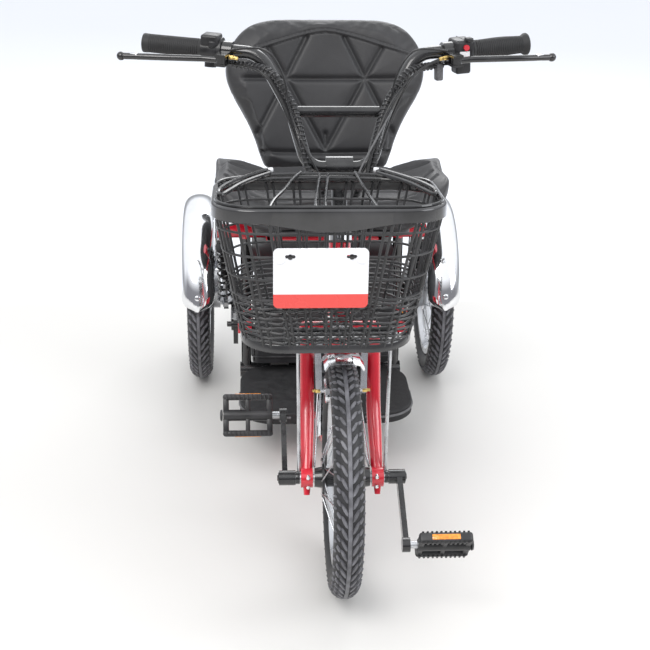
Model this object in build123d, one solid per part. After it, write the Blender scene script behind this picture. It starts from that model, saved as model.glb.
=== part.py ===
from build123d import *
from math import atan2, cos, degrees, hypot, pi, radians, sin, tan
import os

# Adult tricycle, front wheel pedalled, two wheels behind.  Millimetres.
# +Z up, the front of the tricycle faces -Y, the rider's left is +X.
# Origin: on the ground, under the middle of the overall length and width.

# --- driving dimensions -------------------------------------------------------
wheel_radius = 203.0        # 16 inch wheels, outside of the tyre
tyre_width = 54.0
tyre_wall = 5.0
wheelbase = 880.0
rear_track = 532.0
steering_tilt = 20.0        # steering axis, degrees back from vertical
fork_offset = 39.5          # front axle ahead of the steering axis, square to it

# wheels
tyre_depth = 56.0           # from the tread to the rim's seat
rim_flange_height = 6.0     # of the rim's edges above its seat
rim_bed_depth = 13.0        # of the rim's bed under its seat
rim_width = 34.4
bead_width = 29.0
bead_wall = 4.5
spokes_per_side = 14
spoke_radius = 1.1
spoke_lead = 34.0           # degrees from a spoke's hub end to its rim end
hub_flange_radius = 33.0
hub_flange_half = 33.0
rear_flange_radius = 50.0
rear_flange_half = 20.0
hub_flange_thick = 4.0
hub_shell_radius = 16.0

# fits
running_gap = 0.05          # radial, shaft in bore
body_gap = 0.3              # between faces that pass each other
pin_radius = 4.0

# front end, measured along the steering axis from the foot of the axle's perpendicular
crown_gap = 35.0            # from the tyre to the crown
crown_height = 26.0
crown_depth = 34.0
head_tube_gap = 8.0         # from the crown to the head tube
head_tube_length = 130.0
head_tube_radius = 19.0
head_tube_bore = 15.0
cup_height = 8.0
cup_radius = 21.0
steerer_radius = 12.7
quill_radius = 11.1
bar_clamp_rise = 124.0      # of the handlebar over the head tube
stem_radius = 13.5
locknut_height = 12.0
fork_leg_radius = 12.5
fork_tip_radius = 9.5
fork_half_top = 57.0
fork_half_axle = 60.0
fork_bend = 118.0
fork_end_radius = 17.0
fork_end_width = 20.0
bearing_radius = 12.0

# cranks and pedals
spindle_radius = 8.5
crank_length = 140.0
crank_angle = 23.0          # rider's right crank, above the horizontal, to the rear
boss_outer = 107.0
boss_width = 28.0
boss_radius = 12.5
arm_thick = 9.0
pedal_width = 88.0
pedal_length = 76.0
pedal_thick = 20.0
pedal_inner = 115.0
pedal_spindle_radius = 6.0
pedal_barrel_radius = 10.5
pedal_tilt_right = 62.0
pedal_tilt_left = -52.0

# handlebar
bar_radius = 11.1
bar_wall = 1.6
bar_base_half = 54.0
crossbar_radius = 9.5
crossbar_half = 80.0
crossbar_rise = 86.0
crossbar_back = 43.0
bar_bend_half = 134.0
bar_bend_rise = 179.0
bar_bend_back = 73.0
bar_end_half = 330.0
bar_end_rise = 187.0
bar_end_back = 122.0
grip_radius = 16.0
grip_length = 103.0
grip_cap = 3.0
housing_length = 34.0
housing_radius = 21.0
bracket_width = 18.0
bracket_radius = 16.0
lever_reach = 44.0          # lever pivot ahead of the bar
lever_drop = 8.0
lever_past_grip = 24.0
lever_thick = 11.0

# basket
basket_shift = -32.0        # middle of the basket, towards the rider's right
basket_width = 360.0
basket_base_width = 272.0
basket_front = -112.0       # from the front axle
basket_rear = 136.0
basket_base_front = -74.0
basket_base_rear = 98.0
basket_lift = 62.0          # of the basket's base above the tyre
basket_depth_front = 244.0
basket_depth_rear = 220.0
basket_wall = 5.0
rim_band_width = 11.0
rim_band_height = 26.0
basket_corner = 68.0
stay_radius = 3.0
stem_arm_rise = 44.0        # of the basket's arm over the head tube
lid_wire_radius = 3.0
plate_width = 143.0
plate_height = 95.0
plate_thick = 2.5
plate_middle = -47.0
plate_lift = 93.0           # above the basket's base
plate_slot_spacing = 92.0
plate_slot_length = 16.0
plate_slot_width = 6.0

# main frame
down_tube_radius = 21.0
down_tube_rise = 94.0       # of the tube's joint with the head tube, above the tyre
down_tube_gap = 149.0       # from the front tyre back to the tube's foot
down_tube_bend = 110.0
frame_wall = 2.5
cross_tube_back = 715.0
cross_tube_radius = 17.0
cross_tube_past = 3.0       # past the uprights at each end
upright_half = 163.0
upright_radius = 11.0
seat_tube_lift = 197.0      # above the axles
seat_tube_radius = 15.0
seat_tube_half = 222.0
seat_rail_half = 110.0
seat_rail_radius = 11.0
front_rail_radius = 9.0
seat_shift = 16.0           # middle of the seat, towards the rider's left
seat_rail_front = 610.0
seat_rail_rear = 880.0
swing_pivot_drop = 18.0     # under the axles

# footboard, battery box and seat
board_half = 176.0
board_gap = 53.0            # from the down tube's foot to the board
board_length = 235.0
board_top = 120.0
board_thick = 23.0
notch_half = 62.0
notch_depth = 56.0
box_half = 150.0
box_front = 600.0
box_rear = 800.0
box_base = 143.0
box_drop = 28.0             # of the box's top under the seat tube
box_wall = 3.0
battery_gap = 3.0
seat_pan_thick = 10.0
cushion_half = 246.0
cushion_front = 560.0
cushion_gap = 16.0          # between the cushion and the middle of the back
cushion_thick = 66.0
wing_rise = 48.0
back_rear_lean = 17.0       # degrees
back_height = 370.0
back_thick = 58.0
back_half_wide = 219.0
back_half_waist = 157.0
back_half_foot = 135.0
back_foot = 884.0
back_curve = 900.0

# rear axle
arm_half = 186.0
arm_radius = 11.0
axle_tube_radius = 25.0
axle_tube_half = 204.0
drive_case_radius = 60.0
drive_case_width = 120.0
brake_plate_radius = 46.0
axle_pin_radius = 8.0
rear_drum_radius = 43.0
rear_hub_inner = 222.0
rear_hub_end = 300.0
front_hub_half = 47.0
rear_guard_gap = 13.0
guard_sheet = 2.0
guard_width = 72.0
guard_lip = 12.0
shock_half = 209.0
strap_radius = 5.5
shock_foot_back = 812.0
shock_top_back = 728.0
shock_eye_radius = 9.0
shock_eye_width = 12.0
shock_tube_radius = 9.5
shock_rod_radius = 5.0
shock_open_gap = 0.9        # at the open lower pivot
spring_radius = 15.5
spring_wire = 2.6
spring_turns = 7

# --- places worked out from the sizes -----------------------------------------
rim_seat_radius = wheel_radius - tyre_depth
rim_flange_radius = rim_seat_radius + rim_flange_height
rim_bed_radius = rim_seat_radius - rim_bed_depth
crown_low = wheel_radius + crown_gap
crown_top = crown_low + crown_height
head_tube_low = crown_top + head_tube_gap
head_tube_top = head_tube_low + head_tube_length
bar_clamp_height = head_tube_top + bar_clamp_rise
stem_arm_up = head_tube_top + stem_arm_rise
basket_base_height = 2 * wheel_radius + basket_lift
basket_rim_front = basket_base_height + basket_depth_front
basket_rim_rear = basket_base_height + basket_depth_rear
plate_base = basket_base_height + plate_lift
down_tube_top = 2 * wheel_radius + down_tube_rise
down_tube_foot = wheel_radius + down_tube_gap
board_front = down_tube_foot + board_gap
board_rear = board_front + board_length
seat_tube_height = wheel_radius + seat_tube_lift
swing_pivot_height = wheel_radius - swing_pivot_drop
box_top = seat_tube_height - box_drop
rail_height = board_top - board_thick - down_tube_radius
cushion_rear = back_foot - cushion_gap
seat_rail_height = seat_tube_height + seat_tube_radius + seat_rail_radius - 6
seat_rail_top = seat_rail_height + seat_rail_radius
rear_guard_radius = wheel_radius + rear_guard_gap + guard_sheet
overall_length = wheel_radius + wheelbase + rear_guard_radius
front_axle_y = wheel_radius - overall_length / 2
rear_axle_y = front_axle_y + wheelbase
tilt = radians(steering_tilt)
foot_y = front_axle_y + fork_offset * cos(tilt)
foot_z = wheel_radius - fork_offset * sin(tilt)
steer = Plane(origin=(0, foot_y, foot_z), x_dir=(1, 0, 0), z_dir=(0, sin(tilt), cos(tilt)))
locknut_low = head_tube_top + cup_height + body_gap
front_axle = Vector(0, front_axle_y, wheel_radius)
rear_axle = Vector(0, rear_axle_y, wheel_radius)
swing_pivot = Vector(0, front_axle_y + cross_tube_back, swing_pivot_height)
tyre_middle = wheel_radius - tyre_width / 2
spindle_bore = spindle_radius + running_gap


# --- small shapes used all over ------------------------------------------------
def at_steer(x, back, up):
    """Point given across, behind and up the steering axis."""
    return steer.from_local_coords(Vector(x, back, up))


def behind(x, back, height):
    """Point given by its distance behind the front axle."""
    return Vector(x, front_axle_y + back, height)


def rod(start, end, radius):
    start = Vector(start)
    line = Vector(end) - start
    place = Plane(origin=start, z_dir=line)
    return place * Cylinder(radius, line.length, align=(Align.CENTER, Align.CENTER, Align.MIN))


def taper(start, end, radius_start, radius_end):
    start = Vector(start)
    line = Vector(end) - start
    place = Plane(origin=start, z_dir=line)
    return place * Cone(radius_start, radius_end, line.length,
                        align=(Align.CENTER, Align.CENTER, Align.MIN))


def bent_rod(points, radii, radius):
    path = FilletPolyline(*points, radius=radii)
    start = Plane(origin=path @ 0, z_dir=path % 0)
    return sweep(start * Circle(radius), path=path)


def across(centre, radius, width, bore=0.0):
    """Disc or ring with its axis along X, its middle at centre."""
    place = Plane(origin=centre, x_dir=(0, 1, 0), z_dir=(1, 0, 0))
    disc = place * Cylinder(radius, width)
    if bore:
        disc -= place * Cylinder(bore, width + 2)
    return disc


def spun(outline):
    """Solid of revolution about the X axis from points (along the axis, radius)."""
    return revolve(make_face(Polyline(*outline, close=True)), Axis.X)


def both_sides(shape):
    return [shape, mirror(shape, about=Plane.YZ)]


def save(name, *shapes):
    solids = []
    for shape in shapes:
        solids += list(shape.solids())
    part = solids[0] if len(solids) == 1 else Compound(children=solids)
    export_step(part, f"parts/{name}.step")


# --- wheels -----------------------------------------------------------------------
def tyre():
    leg = Pos(0, (rim_seat_radius + tyre_middle) / 2)
    height = tyre_middle - rim_seat_radius
    section = Pos(0, tyre_middle) * Circle(tyre_width / 2)
    section += leg * Rectangle(bead_width, height)
    section -= Pos(0, tyre_middle) * Circle(tyre_width / 2 - tyre_wall)
    section -= leg * Rectangle(bead_width - 2 * bead_wall, height + 2)
    return revolve(section, Axis.X)


def rim():
    half = rim_width / 2
    inner = bead_width / 2 + 0.2
    bed = rim_width / 4
    outline = [(-half, rim_flange_radius), (-inner, rim_flange_radius), (-inner, rim_seat_radius),
               (inner, rim_seat_radius), (inner, rim_flange_radius), (half, rim_flange_radius),
               (half, rim_bed_radius + 7), (bed, rim_bed_radius), (-bed, rim_bed_radius),
               (-half, rim_bed_radius + 7)]
    return spun(outline)


def spoke(side, rim_turn, lead, flange, reach):
    start_turn = radians(rim_turn + lead)
    end_turn = radians(rim_turn)
    start = Vector(side * flange, reach * cos(start_turn), reach * sin(start_turn))
    bed = rim_bed_radius + 1
    end = Vector(side * 3, bed * cos(end_turn), bed * sin(end_turn))
    return rod(start, end, spoke_radius)


def spokes(flange_half, flange_radius):
    """Each side laced one cross, heads in and heads out by turns."""
    pitch = 360 / spokes_per_side
    laced = []
    for side in (-1, 1):
        for number in range(spokes_per_side):
            turn = number * pitch + (pitch / 2 if side > 0 else 0)
            way = 1 if number % 2 else -1
            flange = flange_half + way * hub_flange_thick * 0.55
            laced.append(spoke(side, turn, way * spoke_lead, flange, flange_radius - 4))
    return laced


def hub(bore, end_half, flange_half, flange_radius):
    inner = flange_half - hub_flange_thick / 2
    outer = flange_half + hub_flange_thick / 2
    half = [(0, hub_shell_radius), (inner - 3, hub_shell_radius), (inner, flange_radius),
            (outer, flange_radius), (outer, hub_shell_radius + 2),
            (end_half, hub_shell_radius), (end_half, bore)]
    return spun([(-x, r) for x, r in reversed(half[1:])] + half)


def rear_drum():
    """Brake drum and hub in one, on the inboard side of a rear wheel at X > 0."""
    bore = axle_pin_radius + running_gap
    start = rear_hub_inner - rear_track / 2
    width = -rear_flange_half - start
    drum = across((start + width / 2, 0, 0), rear_drum_radius, width, bore)
    return hub(bore, rear_hub_end - rear_track / 2, rear_flange_half, rear_flange_radius) + drum


# --- front end --------------------------------------------------------------------
def fork_leg():
    top = at_steer(fork_half_top, 0, crown_low + 4)
    bend = at_steer(fork_half_top, 0, fork_bend)
    end = at_steer(fork_half_axle, -fork_offset, 0)
    below_bend = bend + (end - bend) * 0.3
    leg = bent_rod([top, bend, below_bend], [110], fork_leg_radius)
    leg += taper(below_bend, end, fork_leg_radius, fork_tip_radius)
    leg += across(end, fork_end_radius, fork_end_width)
    tip = at_steer(fork_half_axle, -fork_offset - 3, -fork_end_radius - 12)
    leg += taper(end, tip, 8, 5)
    return leg - across(end, bearing_radius, fork_end_width + 2)


def fork():
    crown = steer * Pos(0, 0, (crown_low + crown_top) / 2) * Box(
        2 * (fork_half_top + fork_leg_radius), crown_depth, crown_top - crown_low)
    crown = fillet(crown.edges(), 9)
    steerer = rod(at_steer(0, 0, crown_low + 8), at_steer(0, 0, locknut_low + 8), steerer_radius)
    whole = crown + steerer
    for leg in both_sides(fork_leg()):
        whole += leg
    return whole - rod(at_steer(0, 0, crown_top + 20), at_steer(0, 0, locknut_low + 20),
                       quill_radius)


def fork_bearings():
    centre = at_steer(fork_half_axle, -fork_offset, 0)
    return both_sides(across(centre, bearing_radius, fork_end_width, spindle_bore))


def headset_cups():
    cups = []
    for low in (head_tube_low - cup_height + body_gap, head_tube_top):
        height = cup_height - (body_gap if low < head_tube_low else 0)
        cup = rod(at_steer(0, 0, low), at_steer(0, 0, low + height), cup_radius)
        cup = cup - rod(at_steer(0, 0, low - 1), at_steer(0, 0, low + height + 1),
                        steerer_radius + running_gap)
        cups.append(cup)
    return cups


def stem():
    top = bar_clamp_height
    nut_top = at_steer(0, 0, locknut_low + locknut_height)
    body = rod(at_steer(0, 0, crown_top + 60), nut_top, quill_radius)
    body += rod(nut_top, at_steer(0, 0, top), stem_radius)
    nut = steer * Pos(0, 0, locknut_low) * extrude(RegularPolygon(20, 6), locknut_height)
    nut = nut - rod(at_steer(0, 0, locknut_low - 1), at_steer(0, 0, locknut_low + 8), steerer_radius)
    body += nut
    body += across(at_steer(0, 0, top), bar_radius + 8, 46)
    return body - across(at_steer(0, 0, top), bar_radius, 60)


bar_middle = at_steer(0, 0, bar_clamp_height)
bar_end = bar_middle + Vector(bar_end_half, bar_end_back, bar_end_rise)
bar_bend = bar_middle + Vector(bar_bend_half, bar_bend_back, bar_bend_rise)
bar_out = (bar_end - bar_bend).normalized()
bar_forward = (Vector(0, -1, 0) - bar_out * Vector(0, -1, 0).dot(bar_out)).normalized()
bar_up = bar_forward.cross(bar_out) * -1
if bar_up.Z < 0:
    bar_up = bar_up * -1


def on_bar(inboard, forward=0.0, up=0.0):
    """Point beside the rider's left grip, by its distance inboard of the bar's end."""
    return bar_end - bar_out * inboard + bar_forward * forward + bar_up * up


def bar_half(radius):
    base = bar_middle + Vector(bar_base_half, 0, 0)
    knee = bar_middle + Vector(crossbar_half, crossbar_back, crossbar_rise)
    points = [bar_middle, base, knee, bar_bend, bar_end]
    return bent_rod(points, [34, 150, 48], radius)


def handlebar():
    bar = bar_half(bar_radius)
    bar += mirror(bar, about=Plane.YZ)
    inside = bar_half(bar_radius - bar_wall)
    bar -= inside + mirror(inside, about=Plane.YZ)
    cross = bar_middle + Vector(0, crossbar_back, crossbar_rise)
    for half in both_sides(rod(cross, cross + Vector(crossbar_half - bar_radius + bar_wall / 2, 0, 0),
                               crossbar_radius)):
        bar += half
    return bar


def left_grip():
    grip = rod(on_bar(grip_length), on_bar(-grip_cap), grip_radius)
    grip += taper(on_bar(10), on_bar(-grip_cap), grip_radius, grip_radius + 3)
    return grip - rod(on_bar(grip_length + 1), on_bar(0), bar_radius)


def throttle_grip():
    """Twist grip on the rider's right, turning on the bar."""
    grip = rod(on_bar(grip_length), on_bar(-grip_cap), grip_radius)
    grip -= rod(on_bar(grip_length + 1), on_bar(-body_gap), bar_radius + running_gap)
    return mirror(grip, about=Plane.YZ)


def grip_housing(squared):
    start = grip_length + body_gap
    if squared:
        place = Plane(origin=on_bar(start + housing_length / 2), x_dir=bar_forward, z_dir=bar_out)
        body = fillet((place * Box(44, 40, housing_length)).edges(), 6)
    else:
        body = rod(on_bar(start + housing_length), on_bar(start), housing_radius)
        body += rod(on_bar(start + 14, 4, -30), on_bar(start + 14, 0, 0), 10)
    return body - rod(on_bar(start + housing_length + 20), on_bar(start - 1), bar_radius)


button_place = on_bar(grip_length + housing_length / 2, 22, 8)


def switch_housing():
    seat = rod(button_place - bar_forward * 5, button_place + bar_forward * 9, 5 + running_gap)
    return grip_housing(True) - seat


def horn_button():
    return rod(button_place - bar_forward * 2.5, button_place + bar_forward * 3.5, 5)


bracket_from = grip_length + body_gap + housing_length
lever_pivot = on_bar(bracket_from + bracket_width / 2, lever_reach, -lever_drop)


def lever_bracket():
    """Clamp on the bar with two lugs that hold the lever's pin."""
    middle = bracket_from + bracket_width / 2
    start = on_bar(bracket_from + bracket_width)
    clamp = rod(start, on_bar(bracket_from), bracket_radius)
    place = Plane(origin=on_bar(middle, lever_reach / 2 + 2, -lever_drop), x_dir=bar_forward,
                  z_dir=bar_up)
    clamp += place * Box(lever_reach + 14, bracket_width, lever_thick + 9)
    clamp -= rod(on_bar(bracket_from + bracket_width + 1), on_bar(bracket_from - 1), bar_radius)
    slot = Plane(origin=lever_pivot, x_dir=bar_forward, z_dir=bar_up)
    room = lever_thick + 2 * body_gap
    clamp -= slot * Pos(8, 0, 0) * Box(46, bracket_width + 2, room)
    clamp += rod(lever_pivot - bar_up * 9, lever_pivot + bar_up * 9, pin_radius)
    return clamp


def brake_lever():
    """Blade swinging on the bracket's pin, with a round stop at its tip."""
    tip = on_bar(-lever_past_grip, lever_reach + 14, -lever_drop - 6)
    middle = on_bar(40, lever_reach + 15, -lever_drop - 2)
    heel = lever_pivot + bar_out * 16
    blade = rod(lever_pivot - bar_up * (lever_thick / 2), lever_pivot + bar_up * (lever_thick / 2), 9)
    blade += bent_rod([heel - bar_out * 12, heel + bar_out * 14, middle, tip], [20, 200], lever_thick / 2)
    blade += Pos(*tip) * Sphere(7.5)
    bore = rod(lever_pivot - bar_up * 12, lever_pivot + bar_up * 12, pin_radius + running_gap)
    return blade - bore


# --- brake caliper and front mudguard ----------------------------------------------
caliper_up = (crown_low + crown_top) / 2 + 1
caliper_back = -25.0
pad_up = rim_seat_radius


def caliper_bolt():
    start = at_steer(0, -crown_depth / 2, caliper_up)
    return rod(start, at_steer(0, -46, caliper_up), 3.5) + rod(start, at_steer(0, -23, caliper_up), 9)


def caliper_arm(side, layer):
    """Arm from the pivot bolt, out round the tyre and down to a pad at the rim."""
    thick = 6.0
    back = caliper_back - layer * (thick + body_gap)
    shape = Plane(origin=at_steer(0, back, 0), x_dir=(1, 0, 0), z_dir=steer.y_dir * -1)
    route = [(-side * 14, caliper_up + 4), (side * 10, caliper_up + 1), (side * 36, caliper_up - 18),
             (side * 40, caliper_up - 40), (side * 38, pad_up)]
    arm = None
    for start, end in zip(route, route[1:]):
        piece = SlotCenterToCenter(hypot(end[0] - start[0], end[1] - start[1]), 11)
        turn = degrees(atan2(end[1] - start[1], end[0] - start[0]))
        middle = Pos((start[0] + end[0]) / 2, (start[1] + end[1]) / 2)
        piece = middle * Rot(0, 0, turn) * piece
        arm = piece if arm is None else arm + piece
    arm = extrude(shape * arm, thick)
    pad_centre = at_steer(side * 33, back - thick / 2, pad_up)
    arm += across(pad_centre, 3.5, 16)
    pad = Plane(origin=at_steer(side * 23.5, back - thick / 2, pad_up), x_dir=steer.y_dir, z_dir=(1, 0, 0))
    arm += pad * Box(40, 10, 9)
    return arm - rod(at_steer(0, back + 2, caliper_up), at_steer(0, back - thick - 2, caliper_up),
                     3.5 + running_gap)


def guard_sheet_arc(outer, width, front_turn, rear_turn):
    """Rolled mudguard about the X axis; turns are degrees from straight up, + to the front."""
    half = width / 2
    crown = [(-half, outer - guard_lip), (-half * 0.82, outer - 3), (-half * 0.45, outer)]
    crown += [(-x, r) for x, r in reversed(crown)]
    inner = [(x * (1 - guard_sheet / half), r - guard_sheet) for x, r in reversed(crown)]
    face = make_face(Polyline(*crown, *inner, close=True))
    sweep_angle = front_turn - rear_turn
    arc = revolve(face, Axis.X, revolution_arc=sweep_angle)
    # the outline stands along +Y, so it is turned up to the rear end of the guard
    return Rot(90 + front_turn - sweep_angle, 0, 0) * arc


def front_mudguard():
    outer = wheel_radius + 12 + guard_sheet
    guard = Pos(*front_axle) * guard_sheet_arc(outer, 66, 3, -98)
    stay_foot = Vector(47, front_axle_y + 13, wheel_radius + 14)
    for turn in (52, 92):
        place = radians(turn)
        hold = Vector(32, front_axle_y + (outer - guard_lip) * sin(place),
                      wheel_radius + (outer - guard_lip) * cos(place))
        for stay in both_sides(rod(stay_foot, hold, 2.0)):
            guard += stay
    return guard


# --- basket and plate -----------------------------------------------------------------
def rounded(width, depth, corner):
    return RectangleRounded(width, depth, corner)


def basket_level(front, rear, height_front, height_rear):
    """Plane through a level of the basket, tilted down to the rear at the rim."""
    middle = behind(basket_shift, (front + rear) / 2, (height_front + height_rear) / 2)
    slope = Vector(0, rear - front, height_rear - height_front)
    return Plane(origin=middle, x_dir=(1, 0, 0), z_dir=Vector(1, 0, 0).cross(slope))


rim_plane = basket_level(basket_front, basket_rear, basket_rim_front, basket_rim_rear)
rim_depth = hypot(basket_rear - basket_front, basket_rim_front - basket_rim_rear)
base_plane = basket_level(basket_base_front, basket_base_rear, basket_base_height, basket_base_height)


def basket():
    depth = basket_base_rear - basket_base_front
    low = base_plane * rounded(basket_base_width, depth, basket_corner)
    high = rim_plane * rounded(basket_width, rim_depth, basket_corner)
    outer = loft([low, high])
    floor = base_plane.offset(basket_wall)
    thin = 2 * basket_wall
    low_in = floor * rounded(basket_base_width - thin, depth - thin, basket_corner - basket_wall)
    high_in = rim_plane.offset(1) * rounded(basket_width - thin, rim_depth - thin,
                                            basket_corner - basket_wall)
    band = extrude(rim_plane * rounded(basket_width, rim_depth, basket_corner), -rim_band_height)
    room = 2 * rim_band_width
    opening = rounded(basket_width - room, rim_depth - room, basket_corner - rim_band_width)
    return (outer - loft([low_in, high_in])) + (band - extrude(rim_plane.offset(1) * opening,
                                                               -rim_band_height - 4))


def basket_lid():
    """Wire lid: a rounded loop with fan wires, hinged along the rear of the rim."""
    plane = rim_plane.offset(lid_wire_radius + 0.8)
    loop_width = basket_width - 14
    loop_depth = rim_depth - 14
    section = rounded(loop_width, loop_depth, basket_corner)
    inner = rounded(loop_width - 4 * lid_wire_radius, loop_depth - 4 * lid_wire_radius,
                    basket_corner - 2 * lid_wire_radius)
    ring = extrude(plane.offset(-lid_wire_radius) * (section - inner), 2 * lid_wire_radius)
    apex = loop_depth / 2 - 8
    front = -loop_depth / 2 + 3
    for reach in (-150, -96, -26, 26, 96, 150):
        start = plane.from_local_coords(Vector(reach * 0.2, apex, 0))
        ring += rod(start, plane.from_local_coords(Vector(reach, front, 0)), lid_wire_radius - 0.4)
    return ring


def basket_strut():
    """Shelf under the basket, its stays to the fork ends and its arm from the stem."""
    level = basket_base_height - 4
    foot_x = fork_half_axle + fork_end_width / 2 + stay_radius
    top_x = foot_x + 3
    shelf = Pos(*behind(0, 12, level)) * Box(2 * top_x + 20, 26, 8)
    shelf = fillet(shelf.edges().filter_by(Axis.Z), 8)
    foot = at_steer(foot_x, -fork_offset, spindle_radius + stay_radius - 0.5)
    for stay in both_sides(rod(foot, behind(top_x, 12, level), stay_radius)):
        shelf += stay
    ring = rod(at_steer(0, 0, stem_arm_up - 8), at_steer(0, 0, stem_arm_up + 8), stem_radius + 5)
    arm_end = at_steer(0, 0, stem_arm_up)
    rise = (arm_end.Z - basket_base_height) / (basket_rim_rear - basket_base_height)
    wall = basket_base_rear + rise * (basket_rear - basket_base_rear)
    ring += rod(arm_end, behind(0, wall, arm_end.Z), 6)
    ring -= rod(at_steer(0, 0, stem_arm_up - 20), at_steer(0, 0, stem_arm_up + 20), stem_radius)
    return [shelf, ring]


def plate():
    front = front_axle_y + basket_front - 2
    panel = Plane(origin=(plate_middle, front, plate_base + plate_height / 2), x_dir=(1, 0, 0),
                  z_dir=(0, -1, 0))
    sheet = extrude(panel * rounded(plate_width, plate_height, 8), plate_thick)
    for side in (-1, 1):
        slot = Pos(side * plate_slot_spacing / 2, plate_height / 2 - 13)
        hole = panel * slot * SlotOverall(plate_slot_length, plate_slot_width)
        sheet -= extrude(hole, plate_thick + 2, both=True)
        peg = panel * Pos(side * plate_slot_spacing / 2, plate_height / 2 - 26)
        sheet += extrude(peg * Circle(4), -6)
    return sheet


# --- cranks and pedals ------------------------------------------------------------------
def crank_end(side):
    """Place of the pedal spindle's start; the rider's right crank points up and back."""
    lift = radians(crank_angle)
    way = 1 if side < 0 else -1
    x = side * (boss_outer - boss_width / 2 + 4)
    return Vector(x, front_axle_y + way * crank_length * cos(lift),
                  wheel_radius + way * crank_length * sin(lift))


def crank_spindle():
    return across(front_axle, spindle_radius, 2 * boss_outer - 8)


def crank_arm(side):
    centre = Vector(side * (boss_outer - boss_width / 2), front_axle_y, wheel_radius)
    boss = across(centre, boss_radius, boss_width)
    end = crank_end(side)
    start = Vector(end.X, front_axle_y, wheel_radius)
    middle = (start + end) * 0.5
    line = end - start
    place = Plane(origin=middle, x_dir=line, z_dir=(1, 0, 0))
    arm = extrude(place * SlotCenterToCenter(crank_length, 18), arm_thick / 2, both=True)
    whole = boss + arm + across(end, 12, arm_thick + 4)
    return whole - across(centre, spindle_radius, 2 * boss_width) - across(
        end, pedal_spindle_radius, 3 * arm_thick)


def pedal_spindle(side):
    end = crank_end(side)
    return rod(end - Vector(side * (arm_thick / 2 + 2), 0, 0),
               Vector(side * (pedal_inner + pedal_width - 10), end.Y, end.Z), pedal_spindle_radius)


def pedal(side, turn):
    """Moulded cage round a barrel, with two windows each side of the barrel."""
    cage = fillet(Box(pedal_width, pedal_length, pedal_thick).edges().filter_by(Axis.Z), 11)
    cage = fillet(cage.faces().sort_by(Axis.Z)[-1].edges(), 2.5)
    window = pedal_length / 2 - pedal_barrel_radius - 12
    for way in (-1, 1):
        for part in (-1, 1):
            middle = Pos(part * 19, way * (pedal_barrel_radius + window / 2 + 2), 0)
            cage -= middle * Box(28, window, pedal_thick + 2)
    cage = cage + Rot(0, 90, 0) * Cylinder(pedal_barrel_radius, pedal_width + 6)
    bore = Rot(0, 90, 0) * Cylinder(pedal_spindle_radius + running_gap, pedal_width + 10)
    cap = Pos(side * (pedal_width / 2 + 1.5), 0, 0) * Rot(0, 90, 0) * Cylinder(pedal_barrel_radius, 3)
    cage = (cage - bore) + cap
    end = crank_end(side)
    middle = side * (pedal_inner + pedal_width / 2)
    return Pos(middle, end.Y, end.Z) * Rot(turn, 0, 0) * cage


# --- main frame ---------------------------------------------------------------------------
def frame_tubes(shrink):
    """The frame's tubes, or with the tube wall as shrink, the space inside them."""
    start_up = (down_tube_top - foot_z) / cos(tilt)
    start = at_steer(0, head_tube_bore + 1, start_up)
    foot = behind(0, down_tube_foot, rail_height)
    cross = behind(0, cross_tube_back, rail_height)
    whole = bent_rod([start, foot, cross], [down_tube_bend], down_tube_radius - shrink)
    cross_half = upright_half + upright_radius + cross_tube_past - shrink
    whole += across(cross, cross_tube_radius - shrink, 2 * cross_half)
    seat_tube = behind(0, cross_tube_back, seat_tube_height)
    whole += across(seat_tube, seat_tube_radius - shrink, 2 * (seat_tube_half - shrink))
    front_rail = behind(0, seat_rail_front, seat_rail_height)
    whole += across(front_rail, front_rail_radius - shrink, 2 * seat_rail_half)
    for side in (-1, 1):
        x = side * upright_half
        whole += rod(behind(x, cross_tube_back, rail_height),
                     behind(x, cross_tube_back, seat_tube_height), upright_radius - shrink)
        rail = side * seat_rail_half
        whole += rod(behind(rail, seat_rail_front, seat_rail_height),
                     behind(rail, seat_rail_rear - shrink, seat_rail_height),
                     seat_rail_radius - shrink)
    return whole


def main_frame():
    head = rod(at_steer(0, 0, head_tube_low), at_steer(0, 0, head_tube_top), head_tube_radius)
    whole = head + frame_tubes(0) - frame_tubes(frame_wall)
    notch_bar = behind(0, board_front + notch_depth + 30, rail_height + 2)
    for side in (-1, 1):
        inner = notch_bar + Vector(side * (down_tube_radius - frame_wall / 2), 0, 0)
        whole += rod(inner, notch_bar + Vector(side * (notch_half + 30), 0, 0), 12)
        pin = swing_pivot + Vector(side * (upright_half + upright_radius - frame_wall / 2), 0, 0)
        whole += rod(pin, swing_pivot + Vector(side * (arm_half + arm_radius + 8), 0, 0),
                     pin_radius + 2)
        lug = shock_top(side)
        strap = side * -(shock_eye_width / 2 + strap_radius + 0.5)
        strap_top = behind(side * shock_half + strap, cross_tube_back + 4,
                           seat_tube_height - seat_tube_radius + frame_wall / 2)
        whole += rod(strap_top, lug + Vector(strap, 2, -4), strap_radius)
        whole += across(lug, pin_radius, 32)
        low = rail_height + cross_tube_radius - frame_wall
        pad = behind(side * 90, cross_tube_back, (low + box_base) / 2)
        whole += Pos(*pad) * Box(40, 20, box_base - low)
    saddle_low = rail_height + down_tube_radius - frame_wall
    saddle = behind(0, (board_rear + cross_tube_back - cross_tube_radius) / 2, (saddle_low + box_base) / 2)
    whole += Pos(*saddle) * Box(30, 26, box_base - saddle_low)
    return whole - rod(at_steer(0, 0, head_tube_low - 30), at_steer(0, 0, head_tube_top + 5),
                       head_tube_bore)


def shock_top(side):
    return behind(side * shock_half, shock_top_back, seat_tube_height - seat_tube_radius - 14)


def shock_foot(side):
    span = (shock_foot_back - cross_tube_back) / (wheelbase - cross_tube_back)
    height = swing_pivot_height + span * (wheel_radius - swing_pivot_height)
    return behind(side * shock_half, shock_foot_back, height)


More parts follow.
